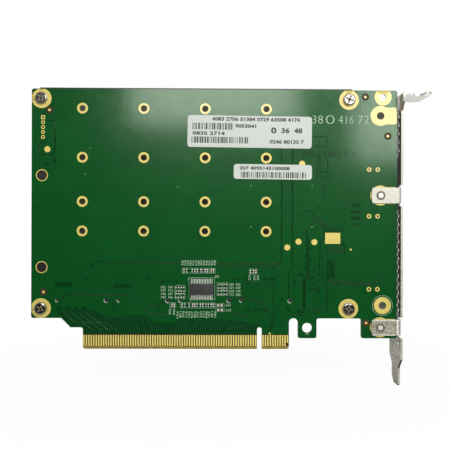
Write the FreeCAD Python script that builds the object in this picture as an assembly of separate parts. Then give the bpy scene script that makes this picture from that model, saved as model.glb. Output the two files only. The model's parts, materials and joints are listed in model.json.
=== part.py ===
import FreeCAD, Part
import math
import os

from FreeCAD import Vector

os.makedirs("parts", exist_ok=True)

# A PCI Express x16 add-in card that carries four M.2 storage modules side by side.
# Millimetres. +Z points away from the slot, +X towards the mounting bracket, and the
# component side faces +Y. The origin is the centre of the contact key notch, on the
# bottom edge of the contacts, halfway through the board.

# ---------------------------------------------------------------- driving dimensions
# printed circuit board
board_thickness = 1.57
board_left_margin = 20.6
board_right = 56.25
board_top = 106.0
shoulder_z = 12.6
foot_z = 4.5
underside_z = 8.8
slant_reach = 8.85
corner_round = 0.9

# card-edge contacts
contact_pitch = 1.0
contact_width = 0.7
contact_thickness = 0.05
contact_low = 1.35
contact_high = 5.75
first_contact = 1.5
near_contacts = 11
far_contacts = 71
tongue_margin = 0.45
tongue_margin_near = 0.6
sense_contact_step = 1.3
sense_contact = 1
presence_contacts = (17, 31, 48, 81)
tongue_chamfer = 0.6
bevel_depth = 0.49
key_width = 1.9
key_height = 8.9

# retention slot, foot and bracket-end notch along the bottom edge
retention_slot_width = 3.6
retention_slot_top = 12.65
retention_foot_width = 7.7
retention_hole_inset = 3.8
retention_hole_z = 8.76
retention_hole_diameter = 4.0
end_notch_width = 18.2

# M.2 module sites, as far apart as a socket and the gap beside it
site_count = 4
last_site_x = 2.6
socket_gap = 3.1
peg_line_z = 19.9
row_offsets = (28.2, 40.2, 58.2, 78.2)
module_hole_diameter = 2.7

# M.2 sockets
socket_length = 21.9
socket_depth = 7.7
socket_height = 4.2
socket_back = 3.0
socket_end_wall = 0.9
socket_slot_height = 1.4
socket_slot_floor = 1.9
socket_slot_depth = 5.4
socket_key_offset = 6.125
socket_key_width = 1.0
socket_peg_inset = 0.95
small_peg_diameter = 1.1
large_peg_diameter = 1.6
peg_clearance = 0.05
lug_gap = 0.5
lug_thickness = 0.3
lug_depth = 2.4

# heatsink cover on the component side
cover_standoff = 6.5
cover_plate = 2.5
cover_right = 40.4
cover_overhang = 2.0
cover_bottom = 12.9
cover_corner = 1.5
duct_right = 55.4
duct_top = 100.0
fin_height = 3.6
fin_thickness = 1.2
fin_pitch = 4.0
fin_border = 3.0
boss_diameter = 7.0
cover_screw_inset = 4.0
cover_screws_z = (102.05, 16.6)
locating_peg_inset = 4.2
locating_pegs_z = (70.7, 33.3)
locating_peg_hole = 4.1
locating_peg_clearance = 0.3
locating_peg_recess = 0.35
locating_shoulder = 6.4

# thermal pads between the cover and the modules
pad_width = 20.0
pad_thickness = 1.5
pad_start = 8.0
pad_end = 103.0

# screws
screw_bore = 2.5
screw_clearance = 0.3
cover_head_diameter = 5.0
cover_head_height = 2.0
cover_screw_length = 6.2
bracket_head_diameter = 5.4
bracket_head_height = 1.7
crown_share = 0.6
rim_share = 0.45

# mounting bracket
sheet = 0.86
bracket_gap = 0.95
bracket_width = 18.42
bracket_near = -3.4
bracket_top_extra = 3.17
bracket_tab_top = 104.8
bracket_total = 120.02
bend_radius = 0.4
tab_reach = 11.43
tab_notch_width = 4.42
tab_notch_centre = 6.35
tab_notch_depth = 4.0
tab_chamfer = 2.2
jog_high = 101.5
jog_low = 98.0
taper_high = -3.8
taper_low = -7.5
tongue_near = 0.7
tongue_width = 10.19
tongue_chamfer_far = 3.0
tongue_chamfer_near = 1.0
ear_height = 6.35
ear_end = 45.8
ear_corner = 0.9
ear_relief = 1.1
ear_hole_x = 49.4
ear_holes_z = (63.0, 9.0)
spare_ear_hole_z = 95.6
ear_collar_diameter = 3.6
ear_collar_height = 0.35
vent_pitch = 3.5
vent_width = 1.9
vent_columns = 4
low_vents_start = -3.1
low_vents_rows = 18
high_vents_start = 79.8
high_vents_rows = 6

# bare spare mounting holes near the bracket
spare_sites = ((50.4, 103.3, 2.8), (50.4, 17.9, 3.1))

# clock buffer on the solder side
chip_centre = (-23.6, 24.5)
chip_length = 9.7
chip_width = 4.4
chip_height = 1.0
chip_standoff = 0.1
lead_pitch = 0.65
lead_width = 0.24
lead_thickness = 0.15
lead_reach = 1.0
lead_foot = 0.5
leads_per_side = 14

# resistors and capacitors around the clock buffer, measured from its centre
small_part = (0.5, 1.0)
resistor_height = 0.35
capacitor_height = 0.5
large_part = (1.6, 0.8)
upper_row_z = 7.5
upper_resistors = (-7.3, -6.2, -3.9, -0.4)
upper_capacitors = (-2.8, -1.8, 1.3, 2.2, 3.9, 4.8)
lower_row_z = -6.6
lower_resistors = (-8.0, -6.9, -5.1, -1.9, 1.7, 2.7, 4.8)
lower_capacitors = (-12.15, -11.2, -3.7, -2.9, -0.5, 0.5, 3.9)
left_array = (-10.0, -7.8)
right_array = (7.4, 9.6)
array_rows = (0.65, -0.8, -1.9, -3.4)
right_array_rise = 1.25
large_capacitors = ((7.4, -6.6), (7.5, -8.54))
far_capacitors = (19.9, 21.1, 22.05)
far_capacitors_z = 7.25

# power parts on the component side, between the last module site and the bracket
inductor_size = (8.0, 4.0, 8.0)
inductor_sites = ((26.5, 62.0), (26.5, 48.0))
regulator_size = (5.0, 0.9, 5.0)
regulator_sites = ((26.5, 74.0), (26.5, 36.5))
bulk_diameter = 5.0
bulk_height = 5.6
bulk_base = 1.2
bulk_sites = ((19.0, 84.0), (26.5, 84.0), (34.0, 84.0), (20.0, 26.0))
ceramic_size = (3.2, 1.6, 1.6)

# paper labels on the solder side
label_thickness = 0.1
label_round = 1.2
large_label = (-29.6, 21.2, 82.3, 95.3)
small_label = (-10.7, 21.3, 69.45, 75.5)
label_tilt = 0.6

# ---------------------------------------------------------------- derived planes
solder_face = -board_thickness / 2
component_face = board_thickness / 2
tongue_left = -(first_contact + (far_contacts - 1) * contact_pitch + tongue_margin)
tongue_right = first_contact + (near_contacts - 1) * contact_pitch + tongue_margin_near
slant_left = tongue_left - slant_reach
slant_right = slant_left + (shoulder_z - underside_z)
slot_right = tongue_right + retention_slot_width
foot_right = slot_right + retention_foot_width
retention_hole = (slot_right + retention_hole_inset, retention_hole_z)
notch_right = foot_right + end_notch_width
cover_base = component_face + cover_standoff
cover_face = cover_base + cover_plate
plate_inner = board_right + bracket_gap
plate_outer = plate_inner + sheet
bracket_far = bracket_near + bracket_width
bracket_bottom = bracket_tab_top - bracket_total
site_pitch = socket_length + socket_gap
sites_x = [last_site_x - site_pitch * (site_count - 1 - i) for i in range(site_count)]
rows_z = [peg_line_z + offset for offset in row_offsets]
board_left = sites_x[0] - board_left_margin
cover_left = board_left
cover_screw_sites = [(x, z) for x in (cover_left + cover_screw_inset,
                                      cover_right - cover_screw_inset) for z in cover_screws_z]
locating_peg_sites = [(board_left + locating_peg_inset, z) for z in locating_pegs_z]
socket_slot_length = socket_length - 2 * socket_end_wall
socket_peg_offset = socket_length / 2 - socket_peg_inset
lug_width = (socket_gap - lug_gap) / 2


# ---------------------------------------------------------------- shape helpers
def xz(a, b):
    return Vector(a, 0, b)


def yz(a, b):
    return Vector(0, a, b)


def xy(a, b):
    return Vector(a, b, 0)


def outline(corners, plane):
    """Face inside a closed outline of (a, b, round) corners, drawn in one plane."""
    edges = []
    previous_end = None
    first_start = None
    count = len(corners)
    for index in range(count):
        a, b, radius = corners[index]
        corner = plane(a, b)
        to_last = plane(*corners[index - 1][:2]) - corner
        to_next = plane(*corners[(index + 1) % count][:2]) - corner
        to_last.normalize()
        to_next.normalize()
        half = to_last.getAngle(to_next) / 2
        reach = radius / math.tan(half)
        start = corner + to_last * reach
        end = corner + to_next * reach
        if previous_end is None:
            first_start = start
        elif (start - previous_end).Length > 1e-6:
            edges.append(Part.LineSegment(previous_end, start).toShape())
        if radius > 0:
            bisector = to_last + to_next
            bisector.normalize()
            middle = corner + bisector * (radius / math.sin(half) - radius)
            edges.append(Part.Arc(start, middle, end).toShape())
        previous_end = end
    if (first_start - previous_end).Length > 1e-6:
        edges.append(Part.LineSegment(previous_end, first_start).toShape())
    return Part.Face(Part.Wire(edges))


def slab(face, offset, run):
    """Extrude a face along `run`, after moving it by `offset`."""
    moved = face.translated(offset)
    return moved.extrude(run)


def box(x0, x1, y0, y1, z0, z1):
    return Part.makeBox(x1 - x0, y1 - y0, z1 - z0, Vector(x0, y0, z0))


def rod(x, z, diameter, y0, y1):
    """Round bar along Y, from y0 to y1."""
    return Part.makeCylinder(diameter / 2, y1 - y0, Vector(x, y0, z), Vector(0, 1, 0))


def drill(x, z, diameter):
    """Cutter for a round hole through the board."""
    return rod(x, z, diameter, solder_face - 1, component_face + 1)


def group(shapes):
    return Part.makeCompound(shapes)


def joined(shapes):
    return shapes[0].multiFuse(shapes[1:]).removeSplitter()


def save(shape, node):
    shape.exportStep("parts/" + node + ".step")


# ---------------------------------------------------------------- circuit board
def board_outline():
    foot_round = corner_round
    slot_round = retention_slot_width / 2
    key_round = key_width / 2
    return outline([
        (board_left, board_top, corner_round),
        (board_right, board_top, corner_round),
        (board_right, foot_z, foot_round),
        (notch_right, foot_z, foot_round),
        (notch_right, shoulder_z, corner_round),
        (foot_right, shoulder_z, corner_round),
        (foot_right, foot_z, foot_round),
        (slot_right, foot_z, foot_round),
        (slot_right, retention_slot_top, slot_round),
        (tongue_right, retention_slot_top, slot_round),
        (tongue_right, tongue_chamfer, 0),
        (tongue_right - tongue_chamfer, 0, 0),
        (key_round, 0, 0),
        (key_round, key_height, key_round),
        (-key_round, key_height, key_round),
        (-key_round, 0, 0),
        (tongue_left + tongue_chamfer, 0, 0),
        (tongue_left, tongue_chamfer, 0),
        (tongue_left, underside_z, corner_round),
        (slant_right, underside_z, 0),
        (slant_left, shoulder_z, 0),
        (board_left, shoulder_z, corner_round),
    ], xz)


def bevel_cutter(side):
    """Wedge that thins the lead-in edge of the contact tongue on one face."""
    face_y = side * board_thickness / 2
    tip_y = face_y - side * bevel_depth
    out_y = face_y + side
    wedge = outline([(tip_y, -1, 0), (tip_y, 0, 0), (face_y, contact_low, 0),
                     (out_y, contact_low, 0), (out_y, -1, 0)], yz)
    length = tongue_right - tongue_left + 2
    return slab(wedge, Vector(tongue_left - 1, 0, 0), Vector(length, 0, 0))


def peg_sites():
    """Socket peg places: (x, diameter) at each site, small peg first."""
    places = []
    for x in sites_x:
        places.append((x - socket_peg_offset, small_peg_diameter))
        places.append((x + socket_peg_offset, large_peg_diameter))
    return places


def ear_holes():
    return [(ear_hole_x, z) for z in (*ear_holes_z, spare_ear_hole_z)]


def circuit_board():
    blank = slab(board_outline(), Vector(0, solder_face, 0), Vector(0, board_thickness, 0))
    cutters = [bevel_cutter(-1), bevel_cutter(1)]
    cutters += [drill(x, z, module_hole_diameter) for x in sites_x for z in rows_z]
    cutters += [drill(x, z, screw_bore + 2 * screw_clearance) for x, z in cover_screw_sites]
    cutters += [drill(x, z, screw_bore + 2 * screw_clearance) for x, z in ear_holes()]
    cutters += [drill(x, z, locating_peg_hole) for x, z in locating_peg_sites]
    cutters += [drill(x, z, diameter) for x, z, diameter in spare_sites]
    cutters += [drill(x, peg_line_z, size + 2 * peg_clearance) for x, size in peg_sites()]
    cutters.append(drill(*retention_hole, retention_hole_diameter))
    return blank.cut(cutters)


# ---------------------------------------------------------------- card-edge contacts
def contact_x(number):
    """Place of a contact, numbered from the bracket end and carried on past the key."""
    if number <= near_contacts:
        return first_contact + (near_contacts - number) * contact_pitch
    return -first_contact - (number - near_contacts - 1) * contact_pitch


def contacts(y0, y1, short_ones):
    """One face's row of plated contacts, where the short ones mate last."""
    pads = []
    for number in range(1, near_contacts + far_contacts + 1):
        x = contact_x(number)
        low = contact_low + (sense_contact_step if number in short_ones else 0)
        pads.append(box(x - contact_width / 2, x + contact_width / 2, y0, y1, low, contact_high))
    return group(pads)


def solder_side_contacts():
    return contacts(solder_face - contact_thickness, solder_face, (sense_contact,))


def component_side_contacts():
    return contacts(component_face, component_face + contact_thickness, presence_contacts)


# ---------------------------------------------------------------- M.2 sockets
def socket(x):
    """Moulded housing, mouth towards +Z, with two pegs through the board."""
    back_z = peg_line_z - socket_back
    mouth_z = back_z + socket_depth
    half = socket_length / 2
    housing = box(x - half, x + half, component_face, component_face + socket_height,
                  back_z, mouth_z)
    slot_y = component_face + socket_slot_floor
    slot = box(x - socket_slot_length / 2, x + socket_slot_length / 2, slot_y,
               slot_y + socket_slot_height, mouth_z - socket_slot_depth, mouth_z + 1)
    key_x = x + socket_key_offset
    key = box(key_x - socket_key_width / 2, key_x + socket_key_width / 2, slot_y,
              slot_y + socket_slot_height, mouth_z - socket_slot_depth, mouth_z - 1)
    lip = outline([(slot_y + socket_slot_height, mouth_z - 2, 0),
                   (component_face + socket_height + 0.1, mouth_z - 2 + 0.9, 0),
                   (component_face + socket_height + 0.1, mouth_z + 1, 0),
                   (slot_y + socket_slot_height, mouth_z + 1, 0)], yz)
    lip = slab(lip, Vector(x - socket_slot_length / 2, 0, 0), Vector(socket_slot_length, 0, 0))
    body = housing.cut([slot, lip])
    pegs = [rod(x - socket_peg_offset, peg_line_z, small_peg_diameter, solder_face, component_face),
            rod(x + socket_peg_offset, peg_line_z, large_peg_diameter, solder_face, component_face)]
    return joined([body, key] + pegs)


def socket_lugs():
    """Solder lugs that hold the two ends of each socket down."""
    lugs = []
    low_z = peg_line_z - socket_back + socket_depth / 2 - lug_depth / 2
    for site in sites_x:
        for side in (-1, 1):
            inner = site + side * socket_length / 2
            outer = inner + side * lug_width
            lugs.append(box(min(inner, outer), max(inner, outer), component_face,
                            component_face + lug_thickness, low_z, low_z + lug_depth))
    return group(lugs)


# ---------------------------------------------------------------- heatsink cover
def cover_outline():
    top = board_top + cover_overhang
    return outline([
        (cover_left, top - cover_corner, 0),
        (cover_left + cover_corner, top, 0),
        (cover_right - cover_corner, top, 0),
        (cover_right, top - cover_corner, 0),
        (cover_right, duct_top, corner_round),
        (duct_right, duct_top, corner_round),
        (duct_right, cover_bottom, corner_round),
        (cover_left, cover_bottom, corner_round),
    ], xz)


def heatsink_cover():
    plate = slab(cover_outline(), Vector(0, cover_base, 0), Vector(0, cover_plate, 0))
    pieces = [plate]
    top = board_top + cover_overhang
    z = cover_bottom + fin_border
    while z + fin_thickness < top - fin_border:
        right = duct_right if z + fin_thickness < duct_top - fin_border else cover_right
        pieces.append(box(cover_left + fin_border, right - fin_border, cover_face,
                          cover_face + fin_height, z, z + fin_thickness))
        z += fin_pitch
    for x, z in cover_screw_sites:
        pieces.append(rod(x, z, boss_diameter, component_face, cover_base))
    peg_diameter = locating_peg_hole - 2 * locating_peg_clearance
    for x, z in locating_peg_sites:
        pieces.append(rod(x, z, locating_shoulder, component_face, cover_base))
        pieces.append(rod(x, z, peg_diameter, solder_face + locating_peg_recess, component_face))
    body = joined(pieces)
    bores = [rod(x, z, screw_bore, component_face - 1, component_face + cover_screw_length)
             for x, z in cover_screw_sites]
    return body.cut(bores)


def thermal_pad(x):
    return box(x - pad_width / 2, x + pad_width / 2, cover_base - pad_thickness, cover_base,
               peg_line_z + pad_start, pad_end)


# ---------------------------------------------------------------- screws
def pan_head(x, z, diameter, height, seat_y, outward):
    """Pan head: straight rim under a coned crown, turned about the screw's axis."""
    radius = diameter / 2
    rim_y = outward * height * rim_share
    crown_y = outward * height
    wire = Part.makePolygon([Vector(0, 0, 0), Vector(radius, 0, 0), Vector(radius, rim_y, 0),
                             Vector(radius * crown_share, crown_y, 0), Vector(0, crown_y, 0),
                             Vector(0, 0, 0)])
    head = Part.Face(wire).revolve(Vector(0, 0, 0), Vector(0, 1, 0), 360)
    return head.translated(Vector(x, seat_y, z))


def cover_screws():
    screws = []
    for x, z in cover_screw_sites:
        head = pan_head(x, z, cover_head_diameter, cover_head_height, solder_face, -1)
        shank = rod(x, z, screw_bore, solder_face, component_face + cover_screw_length)
        screws.append(joined([head, shank]))
    return group(screws)


def bracket_screws():
    screws = []
    tip = solder_face - sheet - ear_collar_height
    for z in ear_holes_z:
        head = pan_head(ear_hole_x, z, bracket_head_diameter, bracket_head_height,
                        component_face, 1)
        shank = rod(ear_hole_x, z, screw_bore, tip, component_face)
        screws.append(joined([head, shank]))
    return group(screws)


# ---------------------------------------------------------------- mounting bracket
def bracket_plate_outline():
    """The bracket seen along X, with windows for the ears and their relief notches."""
    wide = bracket_near - bracket_top_extra
    window = solder_face + bend_radius
    tongue_far = tongue_near + tongue_width
    corners = [
        (bracket_far, bracket_tab_top, 0),
        (wide, bracket_tab_top, 0),
        (wide, jog_high, 0),
        (bracket_near, jog_low, 0),
    ]
    for z in ear_holes_z:
        half = ear_height / 2 + ear_relief
        corners += [(bracket_near, z + half, 0), (window, z + half, 0),
                    (window, z - half, 0), (bracket_near, z - half, 0)]
    corners += [
        (bracket_near, taper_high, 0),
        (tongue_near, taper_low, 0),
        (tongue_near, bracket_bottom + tongue_chamfer_near, 0),
        (tongue_near + tongue_chamfer_near, bracket_bottom, 0),
        (tongue_far - tongue_chamfer_far, bracket_bottom, 0),
        (tongue_far, bracket_bottom + tongue_chamfer_far, 0),
        (tongue_far, taper_low, 0),
        (bracket_far, taper_high, 0),
    ]
    return outline(corners, yz)


def bracket_tab_outline():
    """The bent-over tab seen along Z, with the screw notch in its near edge."""
    wide = bracket_near - bracket_top_extra
    tip = plate_outer + tab_reach
    notch_mid = plate_outer + tab_notch_centre
    half = tab_notch_width / 2
    deep = wide + tab_notch_depth + half
    return outline([
        (plate_inner - 1, bracket_far + 1, 0),
        (plate_inner - 1, wide - 1, 0),
        (plate_outer + 1, wide - 1, 0),
        (plate_outer + 1, wide, 0),
        (notch_mid - half, wide, 0),
        (notch_mid - half, deep, half),
        (notch_mid + half, deep, half),
        (notch_mid + half, wide, 0),
        (tip - tab_chamfer, wide, 0),
        (tip, wide + tab_chamfer, 0),
        (tip, bracket_far - tab_chamfer, 0),
        (tip - tab_chamfer, bracket_far, 0),
        (plate_outer + 1, bracket_far, 0),
        (plate_outer + 1, bracket_far + 1, 0),
    ], xy)


def bent_sheet():
    """Plate and tab as one bent strip, seen along Y."""
    tip = plate_outer + tab_reach
    tab_low = bracket_tab_top - sheet
    profile = outline([
        (plate_inner, bracket_bottom, 0),
        (plate_outer, bracket_bottom, 0),
        (plate_outer, tab_low, bend_radius),
        (tip, tab_low, 0),
        (tip, bracket_tab_top, 0),
        (plate_inner, bracket_tab_top, bend_radius + sheet),
    ], xz)
    wide = bracket_near - bracket_top_extra
    return slab(profile, Vector(0, wide, 0), Vector(0, bracket_far - wide, 0))


def ear(z):
    """Lug folded from the plate over the solder side of the board, tapped for its screw."""
    back = solder_face
    front = solder_face - sheet
    window = solder_face + bend_radius
    profile = outline([
        (ear_end, front, 0),
        (plate_outer, front, bend_radius + sheet),
        (plate_outer, window, 0),
        (plate_inner, window, 0),
        (plate_inner, back, bend_radius),
        (ear_end, back, 0),
    ], xy)
    low = z - ear_height / 2
    folded = slab(profile, Vector(0, 0, low), Vector(0, 0, ear_height))
    tip = outline([
        (ear_end, low, ear_corner),
        (plate_outer + 1, low, 0),
        (plate_outer + 1, low + ear_height, 0),
        (ear_end, low + ear_height, ear_corner),
    ], xz)
    folded = folded.common(slab(tip, Vector(0, front - 1, 0), Vector(0, sheet + 3, 0)))
    collar = rod(ear_hole_x, z, ear_collar_diameter, front - ear_collar_height, front)
    return folded.fuse(collar)


def vent_holes():
    """Hexagonal cutters in a diamond lattice: rows of four and of three, turn about."""
    middle = (bracket_near + bracket_far) / 2
    radius = vent_width / math.sqrt(3)
    cutters = []
    for low, count in ((low_vents_start, low_vents_rows), (high_vents_start, high_vents_rows)):
        for step in range(2 * count - 1):
            z = low + step * vent_pitch / 2
            columns = vent_columns - 1 + step % 2
            for column in range(columns):
                y = middle + (column - (columns - 1) / 2) * vent_pitch
                corners = [(y + radius * math.cos(math.radians(60 * k)),
                            z + radius * math.sin(math.radians(60 * k)), 0) for k in range(6)]
                cutters.append(slab(outline(corners, yz), Vector(plate_inner - 1, 0, 0),
                                    Vector(sheet + 2, 0, 0)))
    return cutters


def bracket():
    reach = tab_reach + 2
    plate = slab(bracket_plate_outline(), Vector(plate_inner - 1, 0, 0), Vector(reach + 2, 0, 0))
    tab = slab(bracket_tab_outline(), Vector(0, 0, bracket_bottom - 1),
               Vector(0, 0, bracket_total + 2))
    folded = bent_sheet().common(plate).common(tab)
    folded = folded.cut(vent_holes())
    body = joined([folded] + [ear(z) for z in ear_holes_z])
    bores = [rod(ear_hole_x, z, screw_bore, solder_face - sheet - 1, solder_face + 1)
             for z in ear_holes_z]
    return body.cut(bores)


# ---------------------------------------------------------------- clock buffer
def chip_body():
    x, z = chip_centre
    outer = solder_face - chip_standoff - chip_height
    return box(x - chip_length / 2, x + chip_length / 2, outer, solder_face - chip_standoff,
               z - chip_width / 2, z + chip_width / 2)


def chip_leads():
    """Leads that slope from the body's mid height to their feet on the board."""
    x, z = chip_centre
    shoulder = solder_face - chip_standoff - chip_height / 2
    edge = chip_width / 2
    tip = edge + lead_reach
    leads = []
    for side in (-1, 1):
        profile = outline([
            (solder_face, z + side * tip, 0),
            (solder_face, z + side * (tip - lead_foot), 0),
            (shoulder + lead_thickness, z + side * edge, 0),
            (shoulder - lead_thickness, z + side * edge, 0),
            (solder_face - lead_thickness, z + side * tip, 0),
        ], yz)
        for index in range(leads_per_side):
            middle = x + (index - (leads_per_side - 1) / 2) * lead_pitch
            leads.append(slab(profile, Vector(middle - lead_width / 2, 0, 0),
                              Vector(lead_width, 0, 0)))
    return group(leads)


# ---------------------------------------------------------------- small parts
def chip_part(x, z, size):
    """Surface-mounted block on the solder side: size is (along X, height, along Z)."""
    width, height, depth = size
    return box(x - width / 2, x + width / 2, solder_face - height, solder_face,
               z - depth / 2, z + depth / 2)


def back_part(x, z, size):
    """Surface-mounted block on the component side."""
    width, height, depth = size
    return box(x - width / 2, x + width / 2, component_face, component_face + height,
               z - depth / 2, z + depth / 2)


def buffer_row(places, z, height):
    """Upright 0402 parts in a row above or below the clock buffer."""
    centre_x, centre_z = chip_centre
    width, length = small_part
    return [chip_part(centre_x + x, centre_z + z, (width, height, length)) for x in places]


def buffer_array(columns, rise):
    """Flat 0402 resistors in two columns beside the clock buffer."""
    centre_x, centre_z = chip_centre
    width, length = small_part
    return [chip_part(centre_x + x, centre_z + z + rise, (length, resistor_height, width))
            for x in columns for z in array_rows]


def chip_resistors():
    return group(buffer_row(upper_resistors, upper_row_z, resistor_height)
                 + buffer_row(lower_resistors, lower_row_z, resistor_height)
                 + buffer_array(left_array, 0) + buffer_array(right_array, right_array_rise))


def chip_capacitors():
    """0402 capacitors in the rows and the far trio, with two 0603 ones below right."""
    length, width = large_part
    return group(buffer_row(upper_capacitors, upper_row_z, capacitor_height)
                 + buffer_row(lower_capacitors, lower_row_z, capacitor_height)
                 + buffer_row(far_capacitors, far_capacitors_z, capacitor_height)
                 + [chip_part(chip_centre[0] + x, chip_centre[1] + z, (length, width, width))
                    for x, z in large_capacitors])


def bulk_capacitors():
    """Aluminium can capacitors: square plastic base with the can standing on it."""
    cans = []
    for x, z in bulk_sites:
        side = bulk_diameter + 0.3
        base = back_part(x, z, (side, bulk_base, side))
        can = rod(x, z, bulk_diameter, component_face + bulk_base, component_face + bulk_height)
        cans.append(joined([base, can]))
    return group(cans)


def ceramic_capacitors():
    """Decoupling capacitors: a pair below each socket and a column beside the inductors."""
    width, height, depth = ceramic_size
    parts = []
    for site in sites_x[1:]:
        parts.append(back_part(site - site_pitch / 2, peg_line_z + 8, (depth, height, width)))
    for _, z in inductor_sites:
        for side in (-1, 1):
            x = inductor_sites[0][0] + side * (inductor_size[0] / 2 + 2)
            parts.append(back_part(x, z, (depth, height, width)))
    return group(parts)


def label(edges):
    """Thin rounded label, turned slightly clockwise about its centre."""
    x0, x1, z0, z1 = edges
    face = outline([(x0, z0, label_round), (x1, z0, label_round),
                    (x1, z1, label_round), (x0, z1, label_round)], xz)
    sticker = slab(face, Vector(0, solder_face - label_thickness, 0),
                   Vector(0, label_thickness, 0))
    centre = Vector((x0 + x1) / 2, 0, (z0 + z1) / 2)
    sticker.rotate(centre, Vector(0, 1, 0), label_tilt)
    return sticker


# ---------------------------------------------------------------- the whole card
save(circuit_board(), "circuit_board")
save(solder_side_contacts(), "edge_contacts_solder_side")
save(component_side_contacts(), "edge_contacts_component_side")
for number, site in enumerate(sites_x, 1):
    save(socket(site), "m2_socket_%d" % number)
    save(thermal_pad(site), "thermal_pad_%d" % number)
save(socket_lugs(), "socket_lugs")
save(heatsink_cover(), "heatsink_cover")
save(cover_screws(), "cover_screws")
save(bracket(), "mounting_bracket")
save(bracket_screws(), "bracket_screws")
save(chip_body(), "clock_buffer_body")
save(chip_leads(), "clock_buffer_leads")
save(chip_resistors(), "chip_resistors")
save(chip_capacitors(), "chip_capacitors")
save(group([back_part(x, z, inductor_size) for x, z in inductor_sites]), "power_inductors")
save(group([back_part(x, z, regulator_size) for x, z in regulator_sites]), "regulator_chips")
save(bulk_capacitors(), "bulk_capacitors")
save(ceramic_capacitors(), "ceramic_capacitors")
save(label(large_label), "large_label")
save(label(small_label), "small_label")
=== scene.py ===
import contextlib
import json
import math
import random

import bpy
from mathutils import Matrix, Vector


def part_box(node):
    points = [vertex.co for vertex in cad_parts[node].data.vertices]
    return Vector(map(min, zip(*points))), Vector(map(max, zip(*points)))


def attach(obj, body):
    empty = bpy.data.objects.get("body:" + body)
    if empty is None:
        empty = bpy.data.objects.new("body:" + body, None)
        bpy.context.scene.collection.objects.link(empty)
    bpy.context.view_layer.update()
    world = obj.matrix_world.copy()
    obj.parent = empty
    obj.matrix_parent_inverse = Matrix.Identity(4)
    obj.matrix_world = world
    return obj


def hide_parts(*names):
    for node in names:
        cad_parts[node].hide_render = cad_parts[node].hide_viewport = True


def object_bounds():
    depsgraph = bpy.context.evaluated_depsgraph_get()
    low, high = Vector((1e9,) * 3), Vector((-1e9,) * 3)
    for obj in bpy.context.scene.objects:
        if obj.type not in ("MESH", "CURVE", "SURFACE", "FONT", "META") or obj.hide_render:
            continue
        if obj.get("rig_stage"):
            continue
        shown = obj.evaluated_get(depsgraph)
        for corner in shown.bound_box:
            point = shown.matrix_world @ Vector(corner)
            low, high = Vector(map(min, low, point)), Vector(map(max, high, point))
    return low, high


bl_info = {
    "name": "Storage adapter card",
    "version": (1, 0, 0),
    "blender": (4, 5, 0),
    "location": "View3D > Sidebar > Adapter card",
    "description": "Finishes for an expansion card that carries four storage modules",
    "category": "Object",
}

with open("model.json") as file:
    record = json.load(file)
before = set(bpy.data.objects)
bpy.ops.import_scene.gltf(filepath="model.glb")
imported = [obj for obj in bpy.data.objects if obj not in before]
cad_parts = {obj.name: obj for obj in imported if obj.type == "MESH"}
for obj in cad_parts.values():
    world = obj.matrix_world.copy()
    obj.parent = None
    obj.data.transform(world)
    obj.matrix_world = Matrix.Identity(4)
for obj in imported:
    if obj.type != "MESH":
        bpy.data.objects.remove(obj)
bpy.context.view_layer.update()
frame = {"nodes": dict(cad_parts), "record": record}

MM = 0.001
DOUBLES = 0.0001 * MM
UPRIGHT = (math.pi / 2, 0, 0)
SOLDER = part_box("edge_contacts_solder_side")[1].y
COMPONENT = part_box("edge_contacts_component_side")[0].y
BOARD_LOW, BOARD_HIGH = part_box("circuit_board")
FINGER_PHASE = 0.5 - (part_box("edge_contacts_solder_side")[0].x / MM + 0.35) % 1


# ------------------------------------------------------------------ properties
def length(name, description, value):
    """A length shown in millimetres and kept in metres."""
    return bpy.props.FloatProperty(name=name, description=description, default=value * MM,
                                   subtype="DISTANCE", unit="LENGTH", precision=5)


def colour(name, description, value):
    return bpy.props.FloatVectorProperty(name=name, description=description, default=value,
                                         subtype="COLOR", size=3, min=0, max=1)


def angle(name, description, degrees):
    return bpy.props.FloatProperty(name=name, description=description, subtype="ANGLE",
                                   default=math.radians(degrees), unit="ROTATION")


def amount(name, description, value, **limits):
    return bpy.props.FloatProperty(name=name, description=description, default=value, **limits)


class CardSizes(bpy.types.PropertyGroup):
    module_land: length("Module land", "Outside diameter of a module hole's land", 4.4)
    module_hole: length("Module hole", "Bore of a module hole", 2.7)
    cover_land: length("Cover screw land", "Outside diameter of the land under a cover screw", 8.0)
    ear_land: length("Ear land", "Outside diameter of the land under a bracket ear", 8.2)
    spare_land: length("Spare land", "Outside diameter of a spare hole's land", 7.0)
    copper: length("Copper", "Thickness of the lands", 0.035)
    test_pad: length("Test pad", "Diameter of a round test pad", 2.45)
    via: length("Via", "Diameter of a covered via", 1.2)
    gap_line: length("Gap line", "Width of the gap beside a copper track", 0.42)
    label_tilt: angle("Label tilt", "Turn of both labels in the plane of the board", 0.6)


class CardColours(bpy.types.PropertyGroup):
    mask: colour("Solder mask", "Green mask over copper", (0.0003, 0.056, 0.0078))
    mask_bare: colour("Bare mask", "Green mask over bare laminate", (0.0012, 0.038, 0.0085))
    mask_line: colour("Gap", "Mask in the gaps beside tracks", (0.0006, 0.031, 0.006))
    laminate: colour("Laminate", "Bare glass-fibre laminate", (0.115, 0.083, 0.022))
    gold: colour("Gold", "Plated lands", (0.555, 0.446, 0.104))
    finger: colour("Edge contacts", "Plating of the edge contacts", (0.88, 0.70, 0.175))
    nickel: colour("Nickel", "Screws", (0.60, 0.58, 0.53))
    steel: colour("Bracket", "Plated sheet of the bracket", (0.57, 0.56, 0.49))
    tin: colour("Tin", "Tinned leads and terminals", (0.74, 0.74, 0.70))
    black: colour("Cover", "Black anodised cover", (0.012, 0.012, 0.012))
    plastic: colour("Plastic", "Moulded black plastic", (0.011, 0.011, 0.012))
    epoxy: colour("Epoxy", "Chip bodies", (0.022, 0.023, 0.022))
    paper: colour("Paper", "Label paper", (0.445, 0.468, 0.435))
    ink: colour("Ink", "Print on the labels", (0.03, 0.032, 0.03))
    silk: colour("Silkscreen", "Printed marks on the board", (0.33, 0.44, 0.32))


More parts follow.
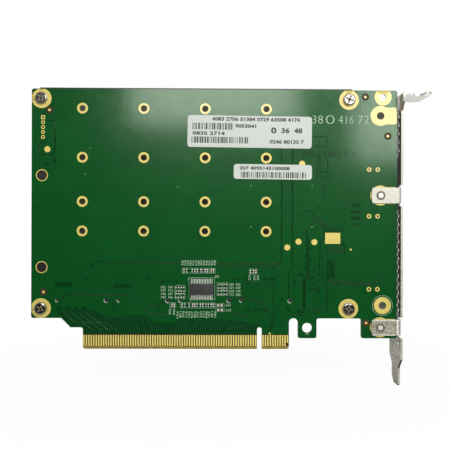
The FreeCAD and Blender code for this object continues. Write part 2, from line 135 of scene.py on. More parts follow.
class CardStage(bpy.types.PropertyGroup):
    camera: bpy.props.FloatVectorProperty(
        name="Camera", description="Place of the camera", default=(-0.0180, -0.2915, 0.0507),
        subtype="TRANSLATION", unit="LENGTH")
    yaw: angle("Yaw", "Turn of the camera about the vertical", -0.75)
    roll: angle("Roll", "Roll of the camera", -0.2)
    lens: amount("Lens", "Focal length in millimetres", 56.95, min=10, max=200)
    key: amount("Key", "Power of the softbox over the camera", 0.59, min=0, subtype="POWER")
    side: amount("Side", "Power of the softbox on the right", 0.42, min=0, subtype="POWER")
    sky: amount("Room", "Light of the room on matt surfaces", 0.62, min=0)


# ------------------------------------------------------------------ modelling helpers
def deselect():
    if bpy.context.object and bpy.context.object.mode != "OBJECT":
        bpy.ops.object.mode_set(mode="OBJECT")
    bpy.ops.object.select_all(action="DESELECT")


def activate(piece):
    deselect()
    piece.select_set(True)
    bpy.context.view_layer.objects.active = piece
    return piece


@contextlib.contextmanager
def editing(piece, action="SELECT"):
    """Edit mode on one piece, with all of it selected or none of it."""
    activate(piece)
    bpy.ops.object.mode_set(mode="EDIT")
    if action:
        bpy.ops.mesh.select_all(action=action)
    yield
    bpy.ops.object.mode_set(mode="OBJECT")


def settle(piece):
    """Put the object's place, turn and scale into its mesh."""
    activate(piece)
    bpy.ops.object.transform_apply(location=True, rotation=True, scale=True)
    return piece


def finish_modifier(piece, kind, **values):
    activate(piece)
    modifier = piece.modifiers.new(kind.title(), kind)
    for key, value in values.items():
        setattr(modifier, key, value)
    bpy.ops.object.modifier_apply(modifier=modifier.name)
    return piece


def rounded(piece, width, segments=1, **values):
    """Bevel the piece's sharp edges."""
    return finish_modifier(piece, "BEVEL", width=width, segments=segments,
                           limit_method="ANGLE", **values)


def combine(piece, other, operation):
    """Join a second solid to the piece, or cut it away."""
    finish_modifier(piece, "BOOLEAN", operation=operation, solver="EXACT", object=other)
    bpy.data.objects.remove(other)
    return piece


def outward(piece):
    """Merge doubles and turn every face outwards."""
    with editing(piece):
        bpy.ops.mesh.remove_doubles(threshold=DOUBLES)
        bpy.ops.mesh.normals_make_consistent(inside=False)
    return piece


def extrude(*way):
    bpy.ops.mesh.extrude_region_move(TRANSFORM_OT_translate={"value": way})


def turned(piece, turn, axis="Y"):
    piece.data.transform(Matrix.Rotation(turn, 4, axis))
    return piece


def join(pieces, name):
    deselect()
    for piece in pieces:
        piece.select_set(True)
    bpy.context.view_layer.objects.active = pieces[0]
    if len(pieces) > 1:
        bpy.ops.object.join()
    joined = bpy.context.view_layer.objects.active
    joined.name = name
    joined.data.name = name
    return joined


def copies(master, places):
    """Copies of a piece, each with its own mesh, at (x, y, z, turn about Y) in metres."""
    twins = []
    for x, y, z, turn in places:
        twin = master.copy()
        twin.data = master.data.copy()
        twin.data.transform(Matrix.Translation((x, y, z)) @ Matrix.Rotation(turn, 4, "Y"))
        bpy.context.collection.objects.link(twin)
        twins.append(twin)
    bpy.data.objects.remove(master)
    return twins


def spread(master, points):
    """Copies of a piece at (x, z) points in millimetres."""
    return copies(master, [(x * MM, 0, z * MM, 0) for x, z in points])


def dress(piece, material, slot, *nodes):
    """Give a finished piece its material, its body and the nodes that it stands for."""
    piece.data.materials.clear()
    piece.data.materials.append(bpy.data.materials[material])
    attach(piece, "root")
    for node in nodes:
        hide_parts(node)


def smooth(piece, degrees=35):
    activate(piece)
    bpy.ops.object.shade_smooth_by_angle(angle=math.radians(degrees))
    return piece


def node_copy(node):
    twin = frame["nodes"][node].copy()
    twin.data = twin.data.copy()
    bpy.context.collection.objects.link(twin)
    return twin


def corners(piece):
    """Lowest and highest corner of a piece's mesh."""
    points = [vertex.co for vertex in piece.data.vertices]
    return [Vector(end(point[i] for point in points) for i in range(3)) for end in (min, max)]


def solid_boxes(node):
    """Lowest and highest corner of each separate solid of a CAD node."""
    with editing(node_copy(node)):
        bpy.ops.mesh.remove_doubles(threshold=DOUBLES)
        bpy.ops.mesh.separate(type="LOOSE")
    boxes = []
    for part in list(bpy.context.selected_objects):
        boxes.append(corners(part))
        bpy.data.objects.remove(part)
    return sorted(boxes, key=lambda box: (round(box[0].z, 5), round(box[0].x, 5)))


def centre(box):
    return (box[0] + box[1]) / 2


def softened(node, name, width, segments=2, degrees=40, shortest=0.0):
    """A copy of a CAD node with its flat faces cleaned and its sharp edges rounded.

    Edges shorter than `shortest` stay sharp.
    """
    twin = node_copy(node)
    for key in list(twin.keys()):
        if key.startswith("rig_"):
            del twin[key]
    twin.parent = None
    twin.name = name
    with editing(twin):
        bpy.ops.mesh.remove_doubles(threshold=DOUBLES)
        bpy.ops.mesh.dissolve_limited(angle_limit=math.radians(0.5))
    with editing(twin, "DESELECT"):
        bpy.ops.mesh.select_mode(type="EDGE")
        bpy.ops.mesh.edges_select_sharp(sharpness=math.radians(degrees))
    weights = twin.data.attributes.new("bevel_weight_edge", "FLOAT", "EDGE")
    for edge in twin.data.edges:
        a, b = (twin.data.vertices[i].co for i in edge.vertices)
        if edge.select and (a - b).length > shortest:
            weights.data[edge.index].value = 1.0
    finish_modifier(twin, "BEVEL", width=width, segments=segments, limit_method="WEIGHT",
                    use_clamp_overlap=True)
    return finish_modifier(smooth(twin, 30), "WEIGHTED_NORMAL", keep_sharp=True)


def block(size, place):
    deselect()
    bpy.ops.mesh.primitive_cube_add(size=1, location=place, scale=size)
    return settle(bpy.context.object)


def rod(radius, depth, place, steps):
    """A cylinder that runs along Y."""
    deselect()
    bpy.ops.mesh.primitive_cylinder_add(vertices=steps, radius=radius, depth=depth,
                                        location=place, rotation=UPRIGHT)
    return settle(bpy.context.object)


def disc(radius, thickness, face_y=SOLDER, side=-1, steps=40, bevel=0.3):
    """Thin round plate at the origin that stands out of a board face."""
    piece = rod(radius, thickness, (0, face_y + side * thickness / 2, 0), steps)
    if bevel:
        rounded(piece, thickness * bevel, angle_limit=math.radians(60))
    return piece


def ring(outer, inner, thickness, face_y=SOLDER, side=-1, steps=48, barrel=0.0):
    """Thin round land with a hole, and the plated wall of the hole where barrel is set."""
    profile = [(0, outer), (0.6 * thickness, outer), (0.4 * thickness, outer - thickness / 2),
               (0, inner + thickness / 2), (-0.4 * thickness, inner)]
    if barrel:
        bore = inner - 0.03 * MM
        profile += [(0, bore), (-barrel - 0.6 * thickness, bore), (0, inner)]
    deselect()
    bpy.ops.mesh.primitive_circle_add(vertices=steps, radius=inner, fill_type="NOTHING")
    piece = bpy.context.object
    with editing(piece):
        last = inner
        for rise, radius in profile:
            extrude(0, 0, rise)
            bpy.ops.transform.resize(value=(radius / last, radius / last, 1))
            last = radius
    piece.location = (0, face_y, 0)
    piece.rotation_euler = (-side * math.pi / 2, 0, 0)
    settle(piece)
    return smooth(outward(piece), 30)


def tile(width, height, thickness, face_y=SOLDER, side=-1, round_by=0.0):
    """Thin rectangular plate at the origin that stands out of a board face."""
    piece = block((width, thickness, height), (0, face_y + side * thickness / 2, 0))
    if round_by:
        with editing(piece, "DESELECT"):
            bpy.ops.mesh.select_mode(type="EDGE")
        for edge in piece.data.edges:
            a, b = (piece.data.vertices[i].co for i in edge.vertices)
            edge.select = abs(a.y - b.y) > thickness / 2
        with editing(piece, None):
            bpy.ops.mesh.bevel(offset=round_by, segments=5)
    return piece


def trim(piece, place, normal):
    """Cut away what lies past a plane, and close the cut."""
    with editing(piece):
        bpy.ops.mesh.bisect(plane_co=place, plane_no=normal, use_fill=True, clear_outer=True)
    return piece


def drawn(name, paths, place_y, rise=1.0, curved=False, closed=False, **values):
    """Mesh of the curves through (x, z) points in millimetres, upright at place_y."""
    curve = bpy.data.curves.new(name, "CURVE")
    for key, value in values.items():
        setattr(curve, key, value)
    for path in paths:
        spline = curve.splines.new("NURBS" if curved else "POLY")
        spline.points.add(len(path) - 1)
        for point, (x, z) in zip(spline.points, path):
            point.co = (x * MM, z * MM, 0, 1)
        spline.use_cyclic_u = closed
        if curved:
            spline.order_u = 3
            spline.use_endpoint_u = True
    piece = bpy.data.objects.new(name, curve)
    bpy.context.collection.objects.link(piece)
    activate(piece)
    bpy.ops.object.convert(target="MESH")
    piece = bpy.context.object
    piece.scale = (1, 1, rise)
    piece.rotation_euler = UPRIGHT
    piece.location = (0, place_y, 0)
    return settle(piece)


def tracks(paths, width, height, name, curved=False):
    """Low ridges on the solder side along flat paths of (x, z) points in millimetres."""
    return drawn(name, paths, SOLDER, 2 * height / width, curved, dimensions="3D",
                 bevel_depth=width / 2, bevel_resolution=0, use_fill_caps=True, resolution_u=6)


def digits(body, x, z, height, width=None, face_y=SOLDER, turn=0.0, thickness=0.012 * MM,
           thin=0.0):
    """Printed characters centred at (x, z) millimetres, as high as asked, facing outwards."""
    deselect()
    bpy.ops.object.text_add(location=(0, 0, 0))
    text = bpy.context.object.data
    text.body = body
    text.align_x = "CENTER"
    text.align_y = "CENTER"
    text.resolution_u = 2
    text.size = 0.01
    text.offset = -thin * text.size
    text.extrude = 0.0002
    depth = 2 * text.extrude
    bpy.ops.object.convert(target="MESH")
    piece = bpy.context.object
    low, high = corners(piece)
    tall = height * MM / (high.y - low.y)
    wide = width * MM / (high.x - low.x) if width else tall
    piece.data.transform(Matrix.Translation((x * MM, face_y - thickness / 2, z * MM))
                         @ Matrix.Rotation(turn, 4, "Y")
                         @ Matrix.Rotation(math.pi / 2, 4, "X")
                         @ Matrix.Diagonal((wide, tall, thickness / depth, 1))
                         @ Matrix.Translation(-(low + high) / 2))
    return piece


# ------------------------------------------------------------------ materials
class Value:
    """A shader value. Sums, products and comparisons of it are shader nodes too.

    `a | b` is the larger of two values, and `~a` is one minus the value.
    """

    def __init__(self, tree, socket):
        self.tree = tree
        self.socket = socket

    def __add__(self, other):
        return self.tree.math("ADD", self, other)

    def __sub__(self, other):
        return self.tree.math("SUBTRACT", self, other)

    def __mul__(self, other):
        return self.tree.math("MULTIPLY", self, other)

    def __lt__(self, other):
        return self.tree.math("LESS_THAN", self, other)

    def __gt__(self, other):
        return self.tree.math("GREATER_THAN", self, other)

    def __or__(self, other):
        return self.tree.math("MAXIMUM", self, other)

    def __invert__(self):
        return self.tree.math("SUBTRACT", 1.0, self)

    def __abs__(self):
        return self.tree.math("ABSOLUTE", self)


class Tree:
    """A node tree of a material or of the room."""

    def __init__(self, tree):
        self.nodes = tree.nodes
        self.links = tree.links

    def feed(self, value, socket):
        """Wire a value to a socket, or set the socket to a plain number."""
        if isinstance(value, Value):
            self.links.new(value.socket, socket)
        else:
            socket.default_value = value

    def node(self, kind, **inputs):
        node = self.nodes.new("ShaderNode" + kind)
        for key, value in inputs.items():
            self.feed(value, node.inputs[key.replace("_", " ")])
        return node

    def math(self, operation, *values):
        node = self.node("Math")
        node.operation = operation
        for value, socket in zip(values, node.inputs):
            self.feed(value, socket)
        return Value(self, node.outputs[0])

    def split(self, vector):
        return [Value(self, part) for part in self.node("SeparateXYZ", Vector=vector).outputs]

    def ranged(self, source, low, high, to_low, to_high):
        node = self.node("MapRange", Value=source, From_Min=low, From_Max=high, To_Min=to_low,
                         To_Max=to_high)
        return Value(self, node.outputs["Result"])

    def rays(self):
        """Whether a ray comes from the camera, and whether it was mirrored or let through."""
        node = self.node("LightPath")
        camera, mirrored, through = (Value(self, node.outputs["Is %s Ray" % kind])
                                     for kind in ("Camera", "Glossy", "Transmission"))
        return camera, mirrored | through


class Finish(Tree):
    """A procedural material on Object coordinates, in metres."""

    def __init__(self, name, base, metallic=0.0, roughness=0.5, **sockets):
        self.material = bpy.data.materials.new(name)
        self.material.use_nodes = True
        self.material.diffuse_color = (*base, 1)
        super().__init__(self.material.node_tree)
        self.shader = self.nodes["Principled BSDF"]
        sockets.update(Base_Color=(*base, 1), Metallic=metallic, Roughness=roughness)
        for key, value in sockets.items():
            self.set(key.replace("_", " "), value)
        self.base = base
        self.rough = roughness
        coordinates = self.node("TexCoord")
        self.place = Value(self, coordinates.outputs["Object"])
        self.normal = Value(self, coordinates.outputs["Normal"])
        self.relief = None

    def set(self, key, value):
        self.feed(value, self.shader.inputs[key])

    def noise(self, scale, detail, stretch=None):
        place = self.place
        if stretch:
            mapping = self.node("Mapping", Vector=place, Scale=stretch)
            place = Value(self, mapping.outputs["Vector"])
        node = self.node("TexNoise", Scale=scale, Detail=detail, Roughness=0.55, Vector=place)
        return Value(self, node.outputs["Fac"])

    def wave(self, scale, direction, distortion):
        node = self.node("TexWave", Scale=scale, Distortion=distortion, Vector=self.place)
        node.bands_direction = direction
        return Value(self, node.outputs["Fac"])

    def blend(self, factor, a, b):
        node = self.node("Mix", Factor=factor)
        node.data_type = "RGBA"
        for value, name in ((a, "A"), (b, "B")):
            socket = next(s for s in node.inputs if s.name == name and s.type == "RGBA")
            self.feed((*value, 1) if isinstance(value, tuple) else value, socket)
        return Value(self, next(s for s in node.outputs if s.type == "RGBA"))

    def shade(self, factor, light, dark, base=None):
        """The base colour, darker and lighter with a factor from 0 to 1."""
        base = base or self.base
        return self.blend(factor, toned(base, dark),
                          tuple(min(1.0, channel) for channel in toned(base, light)))

    def roughness(self, source, spread):
        low = max(0.02, self.rough - spread)
        self.set("Roughness", self.ranged(source, 0.3, 0.7, low, self.rough + spread))

    def bump(self, source, depth, strength):
        """Surface relief, depth in millimetres."""
        node = self.node("Bump", Strength=strength, Distance=depth * MM, Height=source)
        if self.relief:
            self.feed(self.relief, node.inputs["Normal"])
        self.relief = Value(self, node.outputs["Normal"])
        self.set("Normal", self.relief)
        return self


def toned(base, *shares):
    """A colour times one share, or times a share for each channel."""
    return tuple(channel * share for channel, share in zip(base, shares * 3))


MASK_SOCKETS = {"Specular_IOR_Level": 0.27, "Specular_Tint": (0.86, 1.0, 0.82, 1.0),
                "Coat_Weight": 1.0, "Coat_Roughness": 0.34, "Coat_IOR": 1.19}
# The bare part of the tongue ends at this height and at this x, and the laminate has layers:
MASK_END_Z = 6.15 * MM
MASK_END_X = 13 * MM
LAYER_PITCH = 0.26 * MM


def board_finish(name):
    """Green mask on both faces, laminate on the edges and below the mask's lower edge."""
    colours = bpy.context.scene.card_colours
    finish = Finish(name, tuple(colours.mask), roughness=0.14, **MASK_SOCKETS)
    x, y, z = finish.split(finish.place)
    flat = abs(finish.split(finish.normal)[1])
    speckle = finish.noise(1400, 2)
    green = finish.shade(finish.noise(55, 4), 1.28, 0.78)
    green = finish.blend(finish.ranged(finish.noise(900, 3), 0.52, 0.7, 0, 1) * 0.25, green,
                         tuple(1.5 * c + 0.002 for c in colours.mask))
    bare = tuple(colours.laminate)
    tongue = finish.blend(finish.ranged(speckle, 0.4, 0.65, 0, 1), toned(bare, 0.18),
                          toned(bare, 0.42))
    surface = finish.blend((z < MASK_END_Z) * (x < MASK_END_X), green, tongue)
    bevel = finish.blend(finish.ranged(speckle, 0.35, 0.7, 0, 1), (0.15, 0.115, 0.018),
                         (0.31, 0.235, 0.045))
    surface = finish.blend(flat < 0.985, surface, bevel)
    layers = finish.math("SINE", y * (2 * math.pi / LAYER_PITCH))
    edge = finish.blend(finish.ranged(layers, -1, 1, 0, 1), (0.16, 0.13, 0.05),
                        (0.30, 0.27, 0.12))
    finish.set("Base Color", finish.blend(flat < 0.5, surface, edge))
    finish.roughness(finish.noise(260, 3), 0.03)
    weave = finish.wave(330, "X", 1.2) * 0.5 + finish.wave(330, "Z", 1.2) * 0.5
    finish.bump(weave, 0.012, 0.5)
    return finish.bump(finish.noise(160, 3), 0.03, 0.35)


def mask_finish(base):
    """Solder mask of one tone for the pieces that lie on the board."""
    def make(name):
        finish = Finish(name, tuple(base), roughness=0.15, **MASK_SOCKETS)
        finish.set("Base Color", finish.shade(finish.noise(420, 3), 1.25, 0.75))
        finish.roughness(finish.noise(300, 2), 0.03)
        return finish.bump(finish.noise(700, 2), 0.01, 0.4)
    return make


def gold_finish(base, rough, metallic, wear_and_edge_shade=0.0):
    """Gold plating; for the edge contacts also painted shade towards each contact's edges, and
    rubbed streaks along them.
    """
    def make(name):
        finish = Finish(name, tuple(base), metallic, rough, Coat_Weight=1.0,
                        Coat_Roughness=0.18, Coat_IOR=1.36)
        tone = finish.shade(finish.noise(650, 4), 1.18, 0.86)
        if wear_and_edge_shade:
            x = finish.split(finish.place)[0]
            # Painted shade: each contact darkens towards its edges.
            aside = abs(finish.math("FRACT", x * (1 / MM) + FINGER_PHASE) - 0.5)
            tone = finish.blend(finish.ranged(aside, 0.16, 0.30, 0, 1), tone, toned(base, 0.30))
            streaks = finish.noise(1500, 3, (1.0, 1.0, 0.05))
            tone = finish.blend(finish.ranged(streaks, 0.5, 0.75, 0, wear_and_edge_shade), tone,
                                toned(base, 0.55))
        finish.set("Base Color", tone)
        finish.roughness(finish.noise(1200, 3), 0.1)
        return finish.bump(finish.noise(3500, 2), 0.004, 0.5)
    return make


def metal_finish(base, rough, scale, metallic, dirt, stretch=None):
    def make(name):
        finish = Finish(name, tuple(base), metallic, rough)
        grain = finish.noise(scale, 4, stretch)
        dirty = finish.ranged(finish.noise(120, 3), 0.45, 0.72, 0, dirt)
        finish.set("Base Color",
                   finish.blend(dirty, finish.shade(grain, 1.12, 0.88), toned(base, 0.55)))
        finish.roughness(grain, 0.12)
        return finish.bump(grain, 0.006, 0.5)
    return make


# Places on the bracket's sheet. The lower ear's middle, its half height and the ends of its
# bright rim, a painted highlight like the line along the ear's bend:
EAR_MIDDLE = 9 * MM
EAR_HALF = 3.3 * MM
EAR_RIM = (2.75 * MM, 2.95 * MM)
EAR_END = 57.3 * MM
EAR_FOLD = 56.5 * MM
# The heights between which painted shade darkens the plate's inner face beside the board, and
# painted light lightens it again near the top:
PLATE_DARKENS = (-1 * MM, 6 * MM)
PLATE_LIGHTENS = (95.5 * MM, 98.5 * MM)
# The slanted cuts at the foot and at the step, and the front of the step, which get painted shade:
FOOT_CUT = -3.6 * MM
STEP_CUT = 97.9 * MM
STEP_FRONT = (97.4 * MM, 100.9 * MM)
# The corner where the vent field starts, and its depth behind the sheet's front edge; the vent
# walls there get painted light:
VENT_X = 57.6 * MM
VENT_Z = -3.4 * MM
VENT_DEPTH = 4.2 * MM


def bracket_finish(name):
    """Plated sheet: satin faces and bright near edges. Painted shade darkens the plate's inner
    face, most of all beside the board, the slanted cuts and the step; painted light brightens the
    plate's outer face, the faces that look down, the vent walls and the lower ear's rim and bend.
    """
    base = tuple(bpy.context.scene.card_colours.steel)
    finish = Finish(name, base, 0.5, 0.46)
    blend, ranged, shade = finish.blend, finish.ranged, finish.shade
    mottle = finish.noise(2200, 5)
    brushed = finish.noise(2000, 4, (0.5, 0.5, 1.0))
    nx, ny, nz = finish.split(finish.normal)
    x, y, z = finish.split(finish.place)
    sideways, level = abs(nx), abs(nz)
    facing, end_on = ny < -0.9, sideways < 0.3

    tone = blend(ranged(mottle, 0.40, 0.58, 0.4, 0), shade(brushed, 1.08, 0.9),
                 toned(base, 0.50, 0.48, 0.40))
    # Painted shade on the plate: its faces are darker than the ears, the inner face darkest beside
    # the board and lighter again near the top; the outer face is painted light.
    plate = shade(brushed, 1.15, 0.85, toned(base, 0.47, 0.46, 0.42))
    plate = blend(ranged(z, *PLATE_DARKENS, 0, 1), plate, toned(base, 0.09))
    plate = blend(ranged(z, *PLATE_LIGHTENS, 0, 1), plate, toned(base, 0.85))
    plate = blend(nx > 0.0, plate, shade(brushed, 1.12, 0.88, toned(base, 0.95)))
    broad = ranged(sideways, 0.5, 0.95, 0, 1)
    tone = blend(broad, tone, plate)

    # Painted highlight: the faces that look down are painted near white.
    lit_underside = ranged(nz, -0.9, -0.99, 0, 1)
    tone = blend(lit_underside, tone, (0.95, 0.95, 0.94))
    # Painted shade: dark brown on the slanted cuts and on the front of the step.
    slanted = (level > 0.35) * (level < 0.9) * end_on
    tone = blend(slanted * ((z > STEP_CUT) | (z < FOOT_CUT)), tone, (0.085, 0.05, 0.028))
    step = facing * ((z > STEP_FRONT[0]) * (z < STEP_FRONT[1]))
    tone = blend(step, tone, (0.10, 0.065, 0.038))
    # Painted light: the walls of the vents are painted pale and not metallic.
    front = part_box("mounting_bracket")[0].y
    lit_vent_walls = end_on * (y > front + VENT_DEPTH) * (x > VENT_X) * (z > VENT_Z)
    tone = blend(lit_vent_walls, tone, (0.95, 0.95, 0.88))

    # The lower ear: random mottle, with painted highlights on its rim and along its bend.
    across = abs(z - EAR_MIDDLE)
    fold_highlight = ranged(abs(x - EAR_FOLD), 0.2 * MM, 0.45 * MM, 1, 0)
    mottle_and_highlight = blend(ranged(mottle, 0.42, 0.6, 0, 1), toned(base, 0.46, 0.45, 0.37),
                 toned(base, 0.95, 0.93, 0.84))
    mottle_and_highlight = blend(ranged(across, *EAR_RIM, 0, 1) | fold_highlight, mottle_and_highlight, (0.93, 0.93, 0.90))
    tone = blend(facing * (across < EAR_HALF) * (x < EAR_END), tone, mottle_and_highlight)

    finish.set("Base Color", tone)
    finish.set("Metallic", (broad | lit_underside | 0.5) * ~lit_vent_walls)
    finish.roughness(mottle, 0.12)
    finish.bump(brushed, 0.006, 0.35)
    return finish.bump(mottle, 0.015, 0.3)


# The cover's machined face lies behind this depth, below this height and right of this x:
BARE_BEHIND = 3 * MM
BARE_BELOW = 104.5 * MM
BARE_FROM = -91.5 * MM


def cover_finish(name):
    """Black anodising outside, and the bare machined face towards the board."""
    finish = Finish(name, tuple(bpy.context.scene.card_colours.black), roughness=0.42)
    grain = finish.noise(2600, 3)
    x, y, z = finish.split(finish.place)
    facing = finish.split(finish.normal)[1] < -0.9
    inside = facing * (y > BARE_BEHIND) * (z < BARE_BELOW) * (x > BARE_FROM)
    finish.set("Base Color", finish.blend(
        inside, finish.shade(finish.noise(780, 4), 1.35, 0.7),
        finish.shade(grain, 1.08, 0.9, (0.80, 0.79, 0.68))))
    finish.roughness(grain, 0.1)
    return finish.bump(grain, 0.01, 0.6)


def plastic_finish(base, rough, scale, relief=0.012, **sockets):
    def make(name):
        finish = Finish(name, tuple(base), roughness=rough, **sockets)
        finish.set("Base Color", finish.shade(finish.noise(scale * 0.3, 4), 1.35, 0.7))
        finish.roughness(finish.noise(scale * 0.5, 3), 0.08)
        return finish.bump(finish.noise(scale, 3), relief, 0.6)
    return make


def paper_finish(base):
    def make(name):
        finish = Finish(name, tuple(base), roughness=0.75, Specular_IOR_Level=0.25)
        fibres = finish.noise(2600, 4, (1.0, 1.0, 0.4))
        finish.set("Base Color", finish.shade(fibres, 1.04, 0.95))
        finish.roughness(finish.noise(700, 3), 0.06)
        return finish.bump(fibres, 0.006, 0.4)
    return make


def ink_finish(base, rough=0.6):
    def make(name):
        finish = Finish(name, tuple(base), roughness=rough, Specular_IOR_Level=0.3)
        patches = finish.noise(2400, 4)
        finish.set("Base Color", finish.shade(patches, 1.25, 0.8))
        return finish.bump(patches, 0.004, 0.5)
    return make


def palette():
    """Make every finish of the card, each under its name."""
    c = bpy.context.scene.card_colours
    makers = {
        "solder_mask": board_finish,
        "mask_over_laminate": mask_finish(c.mask_bare),
        "mask_gap": mask_finish(c.mask_line),
        "mask_over_track": mask_finish((0.0022, 0.072, 0.0125)),
        "mask_dimple": mask_finish((0.0004, 0.015, 0.0035)),
        "land_gold": gold_finish(c.gold, 0.50, 0.06),
        # The edge contacts get rubbed streaks and painted shade towards their edges.
        "finger_gold": gold_finish(c.finger, 0.40, 0.25, wear_and_edge_shade=0.2),
        "bare_laminate": plastic_finish((0.040, 0.020, 0.010), 0.6, 1800,
                                        Specular_IOR_Level=0.25),
        "bracket_nickel": bracket_finish,
        "plated_screw": metal_finish(toned(c.nickel, 0.62), 0.24, 1600, 1.0, 0.6),
        "tin": metal_finish(c.tin, 0.33, 1800, 0.35, 0.2),
        "can_aluminium": metal_finish((0.70, 0.70, 0.70), 0.28, 1500, 1.0, 0.1, (0.1, 1, 0.1)),
        # Painted shade for the cross recesses of the cover screws.
        "recess_dull": plastic_finish((0.17, 0.15, 0.09), 0.5, 2400, 0.03),
        # Painted shade for the rings round the tips of the bracket screws.
        "thread_dull": plastic_finish((0.12, 0.11, 0.075), 0.5, 2400, 0.03),
        "anodised_black": cover_finish,
        "moulded_black": plastic_finish(c.plastic, 0.48, 1500),
        "chip_epoxy": plastic_finish(c.epoxy, 0.62, 2400, 0.02),
        "pressed_iron": plastic_finish((0.05, 0.05, 0.052), 0.6, 1200, 0.04),
        "film_dark": plastic_finish((0.010, 0.009, 0.008), 0.3, 2600),
        "fired_tan": plastic_finish((0.21, 0.115, 0.055), 0.42, 2600),
        "silicone_grey": plastic_finish((0.68, 0.67, 0.58), 0.75, 1600, 0.03),
        "coated_paper": paper_finish(c.paper),
        "label_ink": ink_finish(c.ink, 0.5),
        "silkscreen": ink_finish(c.silk, 0.55),
        "marking_tone": ink_finish((0.055, 0.048, 0.022)),
        # Pale print, and the painted highlights beside the socket peg ends.
        "white_print": ink_finish((0.36, 0.46, 0.35)),
    }
    for name, make in makers.items():
        if name not in bpy.data.materials:
            make(name)


# ------------------------------------------------------------------ places on the card
# In millimetres: the ear holes' x, the height of the ear hole without a screw, the spare
# holes as x, z and radius, and the holes of the cover's locating pegs.
EAR_X = 49.4
SPARE_EAR_Z = 95.6
SPARE_HIGH = (50.4, 103.3, 1.4)
SPARE_LOW = (50.4, 17.9, 1.55)
LOCATING_HOLES = ((-88.8, 70.7), (-88.8, 33.3))
# The board's shoulder above the contacts, the radius of a screw hole, the diameters of a
# cover screw's head and of the shanks, and the thickness of print on labels and chips:
SHOULDER_Z = 12.6 * MM
SCREW_HOLE = 1.55 * MM
COVER_HEAD = 4.9 * MM
SHANK = 2.5 * MM
INK = 0.006 * MM
# The turns of the two arms of a cross recess:
CROSS = (0, math.pi / 2)
SOCKETS = (1, 2, 3, 4)


def module_columns():
    return [centre(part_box("m2_socket_%d" % number)).x for number in SOCKETS]


def module_rows():
    """Heights of the module holes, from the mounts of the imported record."""
    rows = set()
    for mount in frame["record"]["mounts"]:
        if mount["name"].startswith("module_holes_outer"):
            middle = mount["pos_m"][2]
            half = mount["dims"]["spacing_y_mm"] * MM / 2
            rows.update((round(middle - half, 6), round(middle + half, 6)))
    return sorted(rows)


# ------------------------------------------------------------------ operators
class CARD_OT_finishes(bpy.types.Operator):
    """Make the card's materials and give them to the solids that keep their own shape"""
    bl_idname = "card.finishes"
    bl_label = "Finishes"

    def execute(self, context):
        palette()
        chosen = {
            "circuit_board": "solder_mask",
            "edge_contacts_solder_side": "finger_gold",
            "edge_contacts_component_side": "finger_gold",
            "socket_lugs": "tin",
            "regulator_chips": "chip_epoxy",
            "large_label": "coated_paper",
            "small_label": "coated_paper",
        }
        for node, name in chosen.items():
            for slot in frame["nodes"][node].material_slots:
                slot.material = bpy.data.materials[name]
        return {"FINISHED"}


class CARD_OT_covers(bpy.types.Operator):
    """Round the edges of the cover, the bracket, the sockets and the pads"""
    bl_idname = "card.covers"
    bl_label = "Cover, bracket and sockets"

    def execute(self, context):
        cover = softened("heatsink_cover", "finned_cover", 0.25 * MM)
        dress(cover, "anodised_black", "cover_black", "heatsink_cover")
        plate = softened("mounting_bracket", "folded_bracket", 0.07 * MM, 2, 50, 1.3 * MM)
        dress(plate, "bracket_nickel", "bracket_steel", "mounting_bracket")
        for number in SOCKETS:
            node = "m2_socket_%d" % number
            housing = softened(node, "socket_housing_%d" % number, 0.12 * MM)
            dress(housing, "moulded_black", "socket_plastic", node)
            node = "thermal_pad_%d" % number
            dress(softened(node, "soft_pad_%d" % number, 0.3 * MM, 3), "silicone_grey",
                  "pad_grey", node)
        return {"FINISHED"}


class CARD_OT_module_lands(bpy.types.Operator):
    """Gold rings with plated walls at the module holes"""
    bl_idname = "card.module_lands"
    bl_label = "Module hole lands"

    def execute(self, context):
        sizes = context.scene.card_sizes
        places = [(x, 0, z, 0) for x in module_columns() for z in module_rows()]
        for name, face_y, side, barrel in (
                ("module_hole_lands", SOLDER, -1, COMPONENT - SOLDER),
                ("module_hole_lands_component_side", COMPONENT, 1, 0)):
            master = ring(sizes.module_land / 2, sizes.module_hole / 2 - 0.01 * MM,
                          sizes.copper, face_y, side, barrel=barrel)
            dress(join(copies(master, places), name), "land_gold", "contact_gold")
        return {"FINISHED"}


def round_land(x, z, diameter, hole, edges=()):
    """A land with a hole, cut off inside the board's own edges."""
    piece = ring(diameter / 2, hole, bpy.context.scene.card_sizes.copper, steps=64)
    piece.location = (x, 0, z)
    settle(piece)
    for place, normal in edges:
        trim(piece, place, normal)
    return piece


def ear_land(z):
    """The land under a bracket ear: a disc with a strip towards the bracket, and a hole."""
    sizes = bpy.context.scene.card_sizes
    hole, end = EAR_X * MM, 56.0 * MM
    land = disc(sizes.ear_land / 2, sizes.copper, steps=64, bevel=0)
    land.location = (hole, 0, 0)
    strip = tile(end - hole, 6.9 * MM, sizes.copper, round_by=0.9 * MM)
    strip.location = ((end + hole) / 2, 0, 0)
    combine(settle(land), settle(strip), "UNION")
    combine(land, rod(SCREW_HOLE, 2 * MM, (hole, SOLDER, 0), 48), "DIFFERENCE")
    land.location = (0, 0, z)
    return settle(land)


